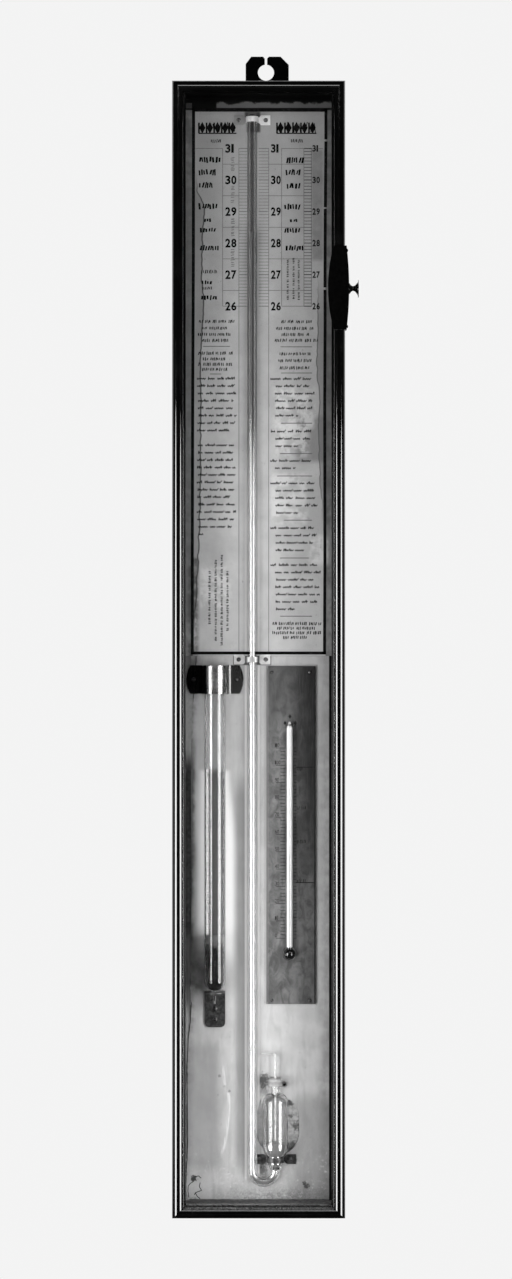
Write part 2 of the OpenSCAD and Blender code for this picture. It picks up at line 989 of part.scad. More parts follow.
// A strap bent over a tube that lies rest_gap off the paper: arch, legs, sweeps and flanges.
// The child is its outline seen from the front, about the arch's middle.
module omega_section(radius, axis_h, thick, sweep, half) {
    arch = radius + rest_gap;
    turn = arch + thick + sweep;
    difference() {
        union() {
            intersection() {
                translate([0, axis_h])
                    circle(arch + thick);
                translate([-turn, 0])
                    square(2 * turn + axis_h);
            }
            translate([-arch - thick, 0])
                square([2 * (arch + thick), axis_h]);
            translate([-turn, 0])
                square([2 * turn, sweep + thick]);
            translate([-half, 0])
                square([2 * half, thick]);
        }
        translate([0, axis_h])
            circle(arch);
        translate([-arch, -over])
            square([2 * arch, axis_h + over]);
        for (side = [-1, 1])
            translate([side * turn, thick + sweep])
                circle(max(sweep, 0.01));
    }
}

module omega_strap(x, z, radius, axis_h, thick, sweep, half, height) {
    translate([x, paper_front, z])
        intersection() {
            translate([0, 0, -height / 2])
                mirror([0, 1, 0])
                    linear_extrude(height)
                        omega_section(radius, axis_h, thick, sweep, half);
            rotate([90, 0, 0])
                translate([0, 0, -over])
                    linear_extrude(axis_h + radius + 10)
                        children();
        }
}

// Outline of a tube clip: square tabs joined by a narrower strap
module bow_tie(inner, outer) {
    square([2 * inner, strap_h], center = true);
    for (turn = [0, 180])
        rotate(turn)
            polygon([
                [inner - 1.6, -strap_h / 2], [inner, -tab_h / 2], [outer, -tab_h / 2],
                [outer, tab_h / 2], [inner, tab_h / 2], [inner - 1.6, strap_h / 2]
            ]);
}

module clip_blank(x, z, radius) {
    inner = radius + rest_gap + clip_t + clip_sweep;
    omega_strap(x, z, radius, tube_r + rest_gap, clip_t, clip_t, inner + tab_len, tab_h)
        bow_tie(inner, inner + tab_len);
}

module at_clip_screws(x, z, radius, y = paper_front - clip_t) {
    reach = radius + rest_gap + clip_t + clip_sweep + tab_len / 2;
    for (side = [-1, 1])
        translate([x + side * reach, y, z])
            children();
}

module at_tube_clip_screws(y = paper_front - clip_t) {
    for (z = [top_clip_z, middle_clip_z])
        at_clip_screws(tube_x, z, tube_r, y)
            children();
}

module clip_holes(x, z, radius) {
    at_clip_screws(x, z, radius)
        from_front()
            pin_hole(shank_r, clip_t + over);
}

module tube_clip_top() {
    color(brass)
        difference() {
            clip_blank(tube_x, top_clip_z, tube_r);
            clip_holes(tube_x, top_clip_z, tube_r);
        }
}

module tube_clip_middle() {
    color(brass)
        difference() {
            clip_blank(tube_x, middle_clip_z, tube_r);
            clip_holes(tube_x, middle_clip_z, tube_r);
        }
}

module instrument_screw(thick) {
    from_front()
        round_screw(head_r, shank_r, pin_len + paper_t + thick - seat_gap);
}

module tube_clip_screws() {
    color(dull_brass)
        at_tube_clip_screws()
            instrument_screw(clip_t);
}

module cistern_clip() {
    color(dull_brass)
        difference() {
            clip_blank(bulb_x, clip_waist_z, waist_r);
            clip_holes(bulb_x, clip_waist_z, waist_r);
        }
}

module cistern_clip_screws() {
    color(dull_brass)
        at_clip_screws(bulb_x, clip_waist_z, waist_r)
            instrument_screw(clip_t);
}

// Leather tied over the mouth of the neck, with a tight hole for the rod
module cistern_cap() {
    color([0.55, 0.52, 0.47])
        at_bulb(0)
            rotate_extrude()
                polygon([
                    [rod_r + run_gap, cap_top], [cap_r - 1.2, cap_top], [cap_r - 0.3, cap_top - 0.9],
                    [cap_r, cap_top - 2], [cap_r - 0.5, cap_top - cap_h / 2],
                    [cap_r, cap_top - cap_h + 1.2], [cap_r - 0.6, cap_top - cap_h],
                    [neck_r + run_gap, cap_top - cap_h], [neck_r + run_gap, neck_top + run_gap],
                    [rod_r + run_gap, neck_top + run_gap]
                ]);
}

// A wire driven into the board, bent over towards the cap
module at_hook() {
    translate([bulb_x + cap_r + 2.2, -board_t, cap_top - cap_h + 1])
        children();
}

module cistern_hook() {
    wire = shank_r;
    reach = tube_y + board_t;
    bend = 1.2;
    color(iron)
        at_hook() {
            from_front()
                translate([0, 0, -pin_len + seat_gap])
                    cylinder(h = pin_len - seat_gap - reach - bend, r = wire);
            translate([-bend, reach + bend, 0])
                rotate([0, 0, -90])
                    rotate_extrude(angle = 90)
                        translate([bend, 0])
                            circle(wire);
            translate([-bend - 0.5, reach, 0])
                rotate([0, 90, 0])
                    cylinder(h = 0.5, r = wire);
        }
}

// The rod goes down through the leather into the bulb, and its top is bent to a handle
module cistern_rod() {
    foot = level_z + 2.4;
    top = cap_top + rod_rise;
    bend = 2;
    color(silver)
        translate([bulb_x, tube_y, 0]) {
            translate([0, 0, foot])
                cylinder(h = top - bend - foot, r = rod_r);
            translate([-bend, 0, top - bend])
                rotate([90, 0, 0])
                    rotate_extrude(angle = 90)
                        translate([bend, 0])
                            circle(rod_r);
            translate([-bend, 0, top])
                rotate([0, -90, 0])
                    cylinder(h = handle_len - bend, r = rod_r);
        }
}

// The storm glass: a closed tube with a round foot drawn out to a tip
module at_storm(z) {
    translate([storm_x, storm_y, z])
        children();
}

module storm_shape(radius, foot, top) {
    at_storm(foot + radius)
        sphere(radius);
    at_storm(foot + radius)
        cylinder(h = top - foot - radius, r = radius);
}

module storm_glass() {
    tip_r = 1.6;
    bead = 0.9;
    color(clear_glass)
        difference() {
            union() {
                storm_shape(storm_r, storm_foot, storm_top);
                at_storm(storm_foot - storm_tip + bead)
                    cylinder(h = storm_tip - bead + 0.5, r1 = bead, r2 = tip_r);
                at_storm(storm_foot - storm_tip + bead)
                    sphere(bead);
            }
            storm_shape(storm_r - storm_wall, storm_foot + storm_wall, storm_top + over);
        }
}

module storm_fill_between(low, high) {
    intersection() {
        storm_shape(
            storm_r - storm_wall - fill_gap,
            storm_foot + storm_wall + fill_gap,
            storm_top - 2 * storm_r
        );
        at_storm(low)
            cylinder(h = high - low, r = storm_r);
    }
}

module storm_liquid() {
    color([0.72, 0.74, 0.74, 0.6])
        storm_fill_between(storm_foot + crystal_h + fill_gap, storm_foot + liquid_h);
}

module storm_crystals() {
    color([0.30, 0.30, 0.30])
        storm_fill_between(storm_foot, storm_foot + crystal_h);
}

module storm_stopper() {
    plug_h = 13;
    color([0.45, 0.40, 0.34])
        at_storm(storm_top - plug_h + 1.5)
            cylinder(h = plug_h, r1 = storm_r - storm_wall - 0.4, r2 = storm_r - storm_wall - run_gap);
}

module at_storm_screws(y = paper_front - storm_strap_t) {
    for (side = [-1, 1])
        translate([storm_x + side * (storm_strap_half - 5.6), y, strap_z])
            children();
}

module storm_strap() {
    color(brass)
        difference() {
            omega_strap(
                storm_x, strap_z, storm_r, storm_r + rest_gap, storm_strap_t, storm_sweep,
                storm_strap_half, storm_strap_h
            )
                circle(storm_strap_half, $fn = 96);
            at_storm_screws()
                from_front()
                    pin_hole(shank_r, storm_strap_t + over);
        }
}

module storm_strap_screws() {
    color(dull_brass)
        at_storm_screws()
            instrument_screw(storm_strap_t);
}

// The bracket's shelf has a hole that the tip goes through, and its foot has round corners
module at_bracket_pins(y = paper_front - bracket_t) {
    for (drop = [bracket_h * 0.49, bracket_h * 0.78])
        translate([storm_x, y, bracket_top - drop])
            children();
}

module storm_bracket() {
    corner = 4;
    half = bracket_w / 2;
    color(dull_brass)
        difference() {
            union() {
                translate([storm_x, paper_front, bracket_top])
                    rotate([90, 0, 0])
                        linear_extrude(bracket_t) {
                            translate([-half, -bracket_h + corner])
                                square([bracket_w, bracket_h - corner]);
                            translate([-half + corner, -bracket_h])
                                square([bracket_w - 2 * corner, corner]);
                            for (side = [-1, 1])
                                translate([side * (half - corner), -bracket_h + corner])
                                    circle(corner);
                        }
                translate([storm_x, 0, bracket_top - bracket_t])
                    linear_extrude(bracket_t) {
                        translate([-half, storm_y])
                            square([bracket_w, paper_front - storm_y]);
                        translate([0, storm_y])
                            circle(half);
                    }
            }
            at_storm(bracket_top - bracket_t - over)
                cylinder(h = bracket_t + 2 * over, r = 2.2);
            at_bracket_pins()
                from_front()
                    pin_hole(shank_r, bracket_t + over);
        }
}

module storm_bracket_pins() {
    color(brass)
        at_bracket_pins()
            instrument_screw(bracket_t);
}

// The thermometer: an engraved plate with a tube and its bulb in front
module at_plate_pins(y = plate_front) {
    edge = 5;
    for (side = [-1, 1])
        for (z = [plate_top - edge, plate_top - plate_h + 3])
            translate([plate_x + side * (plate_w / 2 - edge + 0.4), y, z])
                children();
}

module at_stem_bulb() {
    translate([stem_x, stem_y, stem_foot])
        children();
}

// The two holes that the staple's legs go through, beside the tube
module at_staple_legs() {
    for (side = [-1, 1])
        translate([stem_x + side * (stem_r + rest_gap + staple_r), plate_front, staple_z])
            children();
}

module thermometer_plate() {
    color([0.45, 0.44, 0.42])
        difference() {
            translate([plate_x - plate_w / 2, plate_front, plate_top - plate_h])
                cube([plate_w, plate_t, plate_h]);
            at_stem_bulb()
                from_front()
                    cylinder(h = 3 * stem_bulb_r, r = stem_bulb_r + 2 * rest_gap, center = true);
            at_plate_pins()
                from_front()
                    pin_hole(shank_r, plate_t + over);
            at_staple_legs()
                from_front()
                    pin_hole(staple_r, plate_t + over);
        }
}

module thermometer_plate_pins() {
    color(dull_brass)
        at_plate_pins()
            from_front()
                round_screw(head_r * 0.75, shank_r, pin_len + paper_t + plate_t - seat_gap);
}

// Stem and bulb, with a tapered top
module stem_shape(radius, ball, tip) {
    at_stem_bulb() {
        sphere(ball);
        cylinder(h = stem_len - 2 * tip, r = radius);
        translate([0, 0, stem_len - 2 * tip])
            cylinder(h = 2 * tip, r1 = radius, r2 = radius / 4);
    }
}

module thermometer_tube() {
    color([0.88, 0.88, 0.86])
        difference() {
            stem_shape(stem_r, stem_bulb_r, stem_r);
            at_stem_bulb() {
                sphere(stem_bulb_r - 0.8);
                cylinder(h = stem_len - 10, r = stem_bore);
            }
        }
}

module thermometer_fluid() {
    color([0.05, 0.05, 0.05])
        at_stem_bulb() {
            sphere(stem_bulb_r - 0.8 - fill_gap);
            cylinder(h = thread_h, r = stem_bore - fill_gap);
        }
}

// A bent wire that ties the top of the tube to the plate
module thermometer_staple() {
    span = stem_r + rest_gap + staple_r;
    color(dull_brass) {
        at_staple_legs()
            from_front()
                translate([0, 0, -plate_t])
                    cylinder(h = plate_t + seat_gap + stem_r, r = staple_r);
        translate([stem_x, stem_y, staple_z])
            rotate([180, 0, 0])
                rotate_extrude(angle = 180)
                    translate([span, 0])
                        circle(staple_r, $fn = 24);
    }
}

// Every pin and screw that goes into the front of the backboard
module at_front_pins() {
    at_tube_clip_screws(-board_t)
        children();
    at_clip_screws(bulb_x, clip_waist_z, waist_r, -board_t)
        children();
    at_storm_screws(-board_t)
        children();
    at_bracket_pins(-board_t)
        children();
    at_plate_pins(-board_t)
        children();
    at_hook()
        children();
}

backboard();
case_side_left();
case_side_right();
case_top();
case_bottom();
backboard_nails();
hanger_plate();
hanger_screws();
door_stile_left();
door_stile_right();
door_rail_top();
door_rail_bottom();
door_pane();
glazing_bead_sides();
glazing_bead_ends();
hinge_case_leaves();
hinge_door_leaves();
hinge_pins();
hinge_case_screws();
hinge_door_screws();
pull_plate();
pull_plate_pins();
knob();
knob_spindle();
register_paper();
lining_paper();
barometer_tube();
mercury();
tube_clip_top();
tube_clip_middle();
tube_clip_screws();
cistern_clip();
cistern_clip_screws();
cistern_cap();
cistern_hook();
cistern_rod();
storm_glass();
storm_liquid();
storm_crystals();
storm_stopper();
storm_strap();
storm_strap_screws();
storm_bracket();
storm_bracket_pins();
thermometer_plate();
thermometer_plate_pins();
thermometer_tube();
thermometer_fluid();
thermometer_staple();
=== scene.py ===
import math
import random

import bmesh
import bpy
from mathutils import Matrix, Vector


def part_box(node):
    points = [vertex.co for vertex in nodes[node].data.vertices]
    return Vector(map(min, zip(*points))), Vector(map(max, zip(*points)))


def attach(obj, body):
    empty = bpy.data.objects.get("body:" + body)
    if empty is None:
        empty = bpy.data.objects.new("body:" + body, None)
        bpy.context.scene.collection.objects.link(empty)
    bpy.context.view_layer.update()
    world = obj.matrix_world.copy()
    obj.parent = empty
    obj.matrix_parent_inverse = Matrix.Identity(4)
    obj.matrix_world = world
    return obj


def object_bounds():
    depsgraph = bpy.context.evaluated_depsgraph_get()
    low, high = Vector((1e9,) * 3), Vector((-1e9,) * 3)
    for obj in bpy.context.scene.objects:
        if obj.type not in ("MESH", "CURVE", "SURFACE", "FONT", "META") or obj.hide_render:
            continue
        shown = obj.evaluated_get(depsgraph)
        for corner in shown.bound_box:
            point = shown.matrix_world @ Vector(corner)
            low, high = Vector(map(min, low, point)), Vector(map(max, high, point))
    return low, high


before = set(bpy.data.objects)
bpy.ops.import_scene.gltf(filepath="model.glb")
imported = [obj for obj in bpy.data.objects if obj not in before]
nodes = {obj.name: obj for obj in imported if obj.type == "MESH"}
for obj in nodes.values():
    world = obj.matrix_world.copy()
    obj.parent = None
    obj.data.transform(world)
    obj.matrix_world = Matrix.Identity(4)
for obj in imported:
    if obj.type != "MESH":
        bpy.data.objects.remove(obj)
cad_low, cad_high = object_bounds()

# The photograph's geometry: 512 x 1279, taken 2.8 m in front of the door
PHOTO_W, PHOTO_H = 512, 1279
EYE = Vector((-0.0081, -2.850, -0.4606))
FRONT_SCALE = 1.252  # photo pixels to a millimetre at the door's front, 2.8 m from the eye
FOCAL = FRONT_SCALE * 2800
SENSOR = 36

# Places taken from the CAD's pieces. PAPER, LINING and PLATE are the Y of the fronts of the register, the
# lining and the plate. The two papers are flush, so the places in both are worked out on PAPER
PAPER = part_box("register_paper")[0].y
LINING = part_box("lining_paper")[0].y
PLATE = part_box("thermometer_plate")[0].y
STORM_X = sum(v.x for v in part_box("storm_glass")) / 2
TUBE_X = sum(v.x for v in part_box("tube_clip_top")) / 2
TUBE_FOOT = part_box("barometer_tube")[0].z + 0.003
# The room inside the case, between its sides, floor and ceiling
INNER_LOW = Vector((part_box("case_side_left")[1].x, 0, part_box("case_bottom")[1].z))
INNER_HIGH = Vector((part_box("case_side_right")[0].x, 0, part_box("case_top")[0].z))
INNER_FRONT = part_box("case_side_left")[0].y
# The inner slope of the door's lower rail, where dust lies
RAIL_SLOPE = (Vector((INNER_LOW.x, 0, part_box("door_rail_bottom")[0].z)),
              Vector((INNER_HIGH.x, 0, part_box("door_rail_bottom")[1].z)))

# Y from which the backboard's front takes painted shade and the strips left of the lining, and Y from which
# its hollow is pale: from none to full
BOARD_FRONT = (-0.0055, -0.0075)
HOLLOW_DEPTH = (-0.0012, -0.0022)
# How far from the tube's axis its brass clips bend down to their tabs
CLIP_BEND = 0.0050

# How bright the background is, the room that lights the papers, and the studio that glass and polish mirror
BACKGROUND, ROOM, STUDIO = 0.9, 0.40, 0.008
# The way back, as the Y of a ray, from the studio to the background
STUDIO_FADE = (0.35, 0.85)
# The floor: how far below the case, how far it reaches, where it fades, how bright it is when mirrored
FLOOR_DROP, FLOOR_REACH, FLOOR_FADE, FLOOR_MIRRORED = 1.1, 6, (0.5, 1.3), 0.006

# Each lamp: degrees round from the front, distance, height, width, how tall, radiance, the height of its aim
LAMPS = {
    "softbox_left": (-50, 1.15, -0.82, 0.68, 1.24, 8.0, -0.82),
    "softbox_right": (50, 1.15, -0.80, 0.68, 1.16, 7.8, -0.80),
    "fill_top": (0, 1.5, 0.40, 1.2, 0.3, 3.0, -0.1),
    "fill_back": (180, 1.7, 0.1, 1.6, 1.2, 1.0, -0.5),
}

# Places in pixels of the photograph. A box is its lower left and upper right corner. A fade is the two
# places, heights or widths, that it runs between. A line is its points from the top down, and its ends are
# the lowest and the highest height that it is used for
CHART_LEFT, CHART_RIGHT, CHART_TOP = 193, 325.4, 110.6
# painted shade towards the top of the chart
TOP_SHADE_FADE = (560, CHART_TOP)
PALE_STRIP = ((217, 107.4), (331, 101.5))
PALE_STRIP_FADE = (104.4, 102.0)
CHART_CORNER = ((186.3, 108), (191.6, 103.5))
# painted shadows round the tube's head and its top clip
TUBE_HEAD_SHADOWS = (((246, 119), (259, 113)), ((248, 131), (259, 124)))
LEFT_CREASE = ((195, 120), (196.7, 190), (204, 209), (202.4, 241), (201.5, 270), (203.4, 306), (201, 345),
               (200.6, 430), (200.4, 482), (198.4, 547), (197.3, 579), (194, 612))
LEFT_CREASE_ENDS, LEFT_CREASE_MIDDLE = (640, 112), 405
RIGHT_CREASE = ((316, 160), (318, 250), (317.7, 343), (317, 366), (319.8, 401), (318.8, 417), (319.8, 469),
                (322.5, 500))
RIGHT_CREASE_ENDS, RIGHT_CREASE_MIDDLE = (530, 150), 400
DULL_PATCH = ((300, 458), (324, 420))
RUSTY_STRIP = ((314, 258), (321, 152))
RUBBED = (((278, 424), (310, 392)), ((280, 452), (304, 428)), ((275, 520), (302, 478)),
          ((314, 560), (324, 540)), ((205, 604), (226, 572)))
BORDER_FOOT_DARK = ((191, 660), (196, 560))
TUBE_SHADE_FADE, TUBE_LIGHT_FADE = (520, 400), (420, 560)
# painted shade on the tube's glass above a height, and a painted dark reflection fading in down the mercury
TUBE_SHADED_ABOVE, MERCURY_REFLECTION_FADE = 410, (500, 400)

LINING_TOP, LINING_RIGHT = 655, 327
LINING_LOW_LEFT = ((186, 1162), (212, 1050))
# painted shade in the lining's lower right corner
LINING_SHADED_CORNER = ((302, 1215), (335, 1105))
GREYER_FADE = (1000, 700)
TORN_EDGE = ((196, 656), (195, 684), (192, 710), (191, 750), (189.8, 800), (189.2, 850), (187.6, 900),
             (187.6, 945), (190.2, 991), (190, 1016), (187.6, 1044), (187, 1080), (187, 1116),
             (186.8, 1150), (186.2, 1185), (189, 1199))
TORN_EDGE_ENDS, TORN_EDGE_CLEANER = (1200, LINING_TOP), (1130, 1050)
DARKER_MIDDLE, DEEP_MIDDLE = 850, 905
FOOT_FADE, FOOT_SIDE_FADE, SPECKLE_FADE = (1180, 1198), (215, 245), (1130, 1180)
FLAKE = ((189, 1197), (209, 1185))
# painted shade beyond the lining's right edge
RIGHT_SHADE_FADE = (328.6, 329.4)
LIT_TOP_FADE, LIT_FOOT_FADE, REACH_FADE = (773.5, 767.5), (978, 945), (850, 768)
# painted shade between the storm glass and the tube
SHADED_STRETCH = ((239.5, 1150), (243, 800))
CRYSTAL_SHADOW = ((190, 990), (201, 966))
STREAK = ((223, 1064), (225, 1085), (229, 1100), (227.5, 1125), (222, 1152))
STREAK_ENDS, STREAK_MIDDLE, STREAK_GAP = (1156, 1060), 1108, 1089
# Each side of the storm glass: the way, how far its light reaches at the top and lower down, how bright
GATHERED = ((-1, 0.0152, 0.0165, 0.90), (1, 0.0138, 0.0205, 0.92))
# Worn spots of the lining, and painted shadows by the cistern's cap and clip: where, how large in metres,
# how dark
WORN_AND_SHADED_SPOTS = ((219.4, 1076, 0.0013, 0.45), (229.4, 1091, 0.0012, 0.45), (218, 1095, 0.0009, 0.25),
              (193.8, 1178.5, 0.0029, 0.95), (306.2, 1186, 0.0036, 0.85), (304.4, 1183, 0.0020, 0.7),
              # painted shadows beside the cistern's cap and round its clip
              (262.5, 1081, 0.0085, 0.85), (263, 1091, 0.0060, 0.5), (284, 1084, 0.0029, 0.75),
              (260.5, 1162, 0.0078, 0.9), (262.5, 1171, 0.0066, 0.8), (293, 1159, 0.0042, 0.55))

# The hollow behind the cistern, dark spots in it in the same four numbers, and the paper's edge left of it
HOLLOW = ((257, 1152), (301, 1078))
HOLLOW_DARK_SPOTS = ((289.5, 1104, 0.0040, 0.75), (290.5, 1117, 0.0034, 0.7), (296.5, 1127, 0.0048, 0.75),
              (293, 1147, 0.0055, 0.6), (288, 1156, 0.0050, 0.5))
HOLLOW_RIM = ((261, 1099), (258.8, 1109), (257.6, 1119), (257.8, 1130), (259.2, 1138), (261, 1145))
HOLLOW_RIM_ENDS, HOLLOW_RIM_MIDDLE = (1146, 1098), 1122
# The board: painted shade right of the chart, and boxes left of the lining with how much of the tone, and
# the tone
BOARD_SHADE_FADE = (328.6, 329.6)
BOARD_STRIPS = ((((180, 745), (193, 676)), 0.9, 0.30), (((180, 925), (193, 775)), 0.95, 0.015),
                (((180, 1210), (188.5, 1020)), 0.95, 0.34))
SIDE_PALE_FADE = (960, 1030)

# the storm strap: painted shadow darkens it left of the first X, and it is greyer right of the second
STRAP_SHADED_LEFT, STRAP_GREY_RIGHT = 206.5, 223.6
PLATE_TOP_FADE, PLATE_SIDE_FADE = (750, 690), (930, 780)


def at_photo(px, py, y=PAPER):
    """The point of the plane Y = y that shows at a pixel of the photograph."""
    away = (y - EYE.y) / FOCAL
    return Vector((EYE.x + (px - PHOTO_W / 2) * away, y, EYE.z + (PHOTO_H / 2 - py) * away))


def x_at(px):
    return at_photo(px, 0).x


def z_at(py, y=PAPER):
    return at_photo(0, py, y).z


def grey(v):
    return (v, v, v, 1.0)


def add_object(name, data):
    made = bpy.data.objects.new(name, data)
    bpy.context.collection.objects.link(made)
    return made


# Camera, lamps and world
def build_camera():
    data = bpy.data.cameras.new("camera")
    data.sensor_width = SENSOR
    data.lens = FOCAL / PHOTO_H * SENSOR
    data.clip_start = 0.05
    data.clip_end = 50
    camera = add_object("camera", data)
    camera.location = EYE
    camera.rotation_euler = (math.radians(90), 0, 0)
    bpy.context.scene.camera = camera
    bpy.context.scene.view_settings.view_transform = "Standard"
    # A ray to the paper behind the storm glass crosses eight faces of glass and liquid
    bpy.context.scene.cycles.transparent_max_bounces = 16


def build_lamp(name, azimuth, distance, height, width, tall, radiance, aim_z):
    """An oval softbox that points at the Z axis."""
    data = bpy.data.lights.new(name, "AREA")
    data.shape = "ELLIPSE"
    data.size = width
    data.size_y = tall
    data.energy = radiance * math.pi * width * tall * math.pi / 4
    light = add_object(name, data)
    a = math.radians(azimuth)
    light.location = (math.sin(a) * distance, -math.cos(a) * distance, height)
    aim = Vector((0, 0, aim_z)) - light.location
    light.rotation_euler = aim.to_track_quat("-Z", "Y").to_euler()


def plug(tree, socket, value):
    """Set a socket to a number or a colour, or link another node's output to it."""
    if isinstance(value, bpy.types.NodeSocket):
        tree.links.new(value, socket)
    elif isinstance(value, (int, float)) and socket.type == "RGBA":
        socket.default_value = grey(value)
    else:
        socket.default_value = value


def add_node(tree, kind, inputs=(), **props):
    made = tree.nodes.new(kind)
    for k, v in props.items():
        setattr(made, k, v)
    for k, v in dict(inputs).items():
        plug(tree, made.inputs[k], v)
    return made


def build_world():
    """The pale background behind the object, and a dim studio in front for all that mirrors."""
    world = bpy.data.worlds.new("studio")
    bpy.context.scene.world = world
    world.use_nodes = True
    tree = world.node_tree
    tree.nodes.clear()
    path = add_node(tree, "ShaderNodeLightPath").outputs
    place = add_node(tree, "ShaderNodeTexCoord").outputs["Generated"]
    split = add_node(tree, "ShaderNodeSeparateXYZ", {0: place})
    low, high = STUDIO_FADE
    inputs = {"Value": split.outputs["Y"], "From Min": low, "From Max": high,
              "To Min": STUDIO, "To Max": BACKGROUND}
    behind = add_node(tree, "ShaderNodeMapRange", inputs).outputs[0]
    mirrored, room, plain = [add_node(tree, "ShaderNodeBackground", {"Color": colour}).outputs[0]
                             for colour in (behind, ROOM, BACKGROUND)]
    by_diffuse = add_node(tree, "ShaderNodeMixShader", {0: path["Is Diffuse Ray"], 1: mirrored, 2: room})
    inputs = {0: path["Is Camera Ray"], 1: by_diffuse.outputs[0], 2: plain}
    by_camera = add_node(tree, "ShaderNodeMixShader", inputs)
    add_node(tree, "ShaderNodeOutputWorld", {"Surface": by_camera.outputs[0]})


build_camera()
for lamp, values in LAMPS.items():
    build_lamp(lamp, *values)
build_world()


# Materials
class Shader:
    """A Principled material with short calls for the nodes that feed it.

    base is its colour, on which lay puts one tone after another. The sizes of grain, bumps and edges are
    in millimetres, and all places and widths in metres.
    """

    def __init__(self, name):
        self.mat = bpy.data.materials.new(name)
        self.mat.use_nodes = True
        self.base = None
        self.tree = self.mat.node_tree
        self.bsdf = self.tree.nodes["Principled BSDF"]
        self.place = self.node("ShaderNodeTexCoord").outputs["Object"]
        self.x, self.y, self.z = self.node("ShaderNodeSeparateXYZ", {0: self.place}).outputs

    def node(self, kind, inputs=(), **props):
        return add_node(self.tree, kind, inputs, **props)

    def math(self, op, a, b=0.0, clamp=False):
        return self.node("ShaderNodeMath", {0: a, 1: b}, operation=op, use_clamp=clamp).outputs[0]

    def times(self, first, *factors):
        """The product of all that is given."""
        for factor in factors:
            first = self.math("MULTIPLY", first, factor)
        return first

    def away(self, value, middle):
        """How far value is from middle."""
        return self.math("ABSOLUTE", self.math("SUBTRACT", value, middle))

    def shift(self, noise, size):
        """Noise turned into a shift of up to half of size either way."""
        return self.times(self.math("SUBTRACT", noise, 0.5), size)

    def ramp(self, value, low, high, start=0.0, end=1.0, kind="SMOOTHSTEP"):
        """value between low and high, eased to between start and end."""
        inputs = {"Value": value, "From Min": low, "From Max": high, "To Min": start, "To Max": end}
        return self.node("ShaderNodeMapRange", inputs, interpolation_type=kind).outputs[0]

    def straight(self, value, low, high, start=0.0, end=1.0):
        """The same without easing."""
        return self.ramp(value, low, high, start, end, "LINEAR")

    def fade_up(self, heights, start=0.0, end=1.0, y=PAPER):
        """start at the first of two heights and end at the second, in the photograph's pixels."""
        return self.ramp(self.z, z_at(heights[0], y), z_at(heights[1], y), start, end)

    def fade_across(self, widths, start=0.0, end=1.0):
        """The same from side to side."""
        return self.ramp(self.x, x_at(widths[0]), x_at(widths[1]), start, end)

    def scaled(self, size, stretch):
        scale = tuple(1000 / (size * k) for k in stretch)
        return self.node("ShaderNodeMapping", {"Vector": self.place, "Scale": scale}).outputs[0]

    def noise(self, size, detail=3.0, rough=0.5, stretch=(1, 1, 1), swirl=0.0):
        inputs = {"Vector": self.scaled(size, stretch), "Scale": 1.0, "Detail": detail,
                  "Roughness": rough, "Distortion": swirl}
        return self.node("ShaderNodeTexNoise", inputs).outputs["Fac"]

    def cells(self, size, stretch=(1, 1, 1), feature="F1"):
        inputs = {"Vector": self.scaled(size, stretch), "Scale": 1.0}
        return self.node("ShaderNodeTexVoronoi", inputs, feature=feature).outputs["Distance"]

    def mix(self, share, a, b):
        return self.node("ShaderNodeMix", {0: share, 6: a, 7: b}, data_type="RGBA").outputs[2]

    def lay(self, tone, *shares):
        """Lay tone over base, as much of it as the product of shares."""
        self.base = self.mix(self.times(*shares), self.base, tone)

    def along(self, points, ends):
        """The X at this height of a line drawn down the papers, in the photograph's pixels."""
        low, high = z_at(ends[0]), z_at(ends[1])
        line = sorted((z_at(py), x_at(px)) for px, py in points)
        margin = 1e-4
        left = min(x for z, x in line) - margin
        right = max(x for z, x in line) + margin
        at = [((z - low) / (high - low), (x - left) / (right - left)) for z, x in line]
        made = self.node("ShaderNodeFloatCurve", {"Value": self.straight(self.z, low, high)})
        curve = made.mapping.curves[0]
        curve.points[0].location = at[0]
        curve.points[1].location = at[-1]
        for p in at[1:-1]:
            curve.points.new(*p)
        made.mapping.update()
        return self.straight(made.outputs[0], 0.0, 1.0, left, right)

    def past(self, points, ends, wobble):
        """How far a place is right of such a line that wavers by wobble."""
        return self.math("SUBTRACT", self.x, self.math("ADD", self.along(points, ends), wobble))

    def band(self, value, middle, half, soft):
        """1 where value is within half of middle, falling to 0 over soft."""
        return self.ramp(self.away(value, middle), half, half + soft, 1.0, 0.0)

    def band_at(self, py, half, soft):
        """A level band about a height in the photograph's pixels."""
        return self.band(self.z, z_at(py), half, soft)

    def patch(self, low, high, soft, soft_up=None):
        """1 inside a box of the front plane, given as two points, falling to 0 over soft."""
        across = self.band(self.x, (low.x + high.x) / 2, abs(high.x - low.x) / 2, soft)
        up = self.band(self.z, (low.z + high.z) / 2, abs(high.z - low.z) / 2, soft_up or soft)
        return self.times(across, up)

    def box(self, corners, soft, soft_up=None):
        """The same for a box in the photograph's pixels, on the papers."""
        low, high = corners
        return self.patch(at_photo(*low), at_photo(*high), soft, soft_up)

    def blotch(self, px, py, radius, noise):
        """1 inside a ragged spot about a pixel of the photograph. A wide spot is soft."""
        centre = at_photo(px, py)
        flat = self.node("ShaderNodeCombineXYZ", {0: self.x, 1: centre.y, 2: self.z}).outputs[0]
        away = self.node("ShaderNodeVectorMath", {0: flat, 1: centre}, operation="DISTANCE").outputs["Value"]
        ragged = self.math("ADD", away, self.shift(noise, radius * 2.2))
        return self.ramp(ragged, radius, radius * (0.7 if radius < 0.003 else 0.25))

    def bump(self, height, depth, strength=1.0, normal=None):
        inputs = {"Height": height, "Distance": depth / 1000, "Strength": strength}
        if normal is not None:
            inputs["Normal"] = normal
        return self.node("ShaderNodeBump", inputs).outputs[0]

    def flat_normal(self):
        return self.node("ShaderNodeNewGeometry").outputs["Normal"]

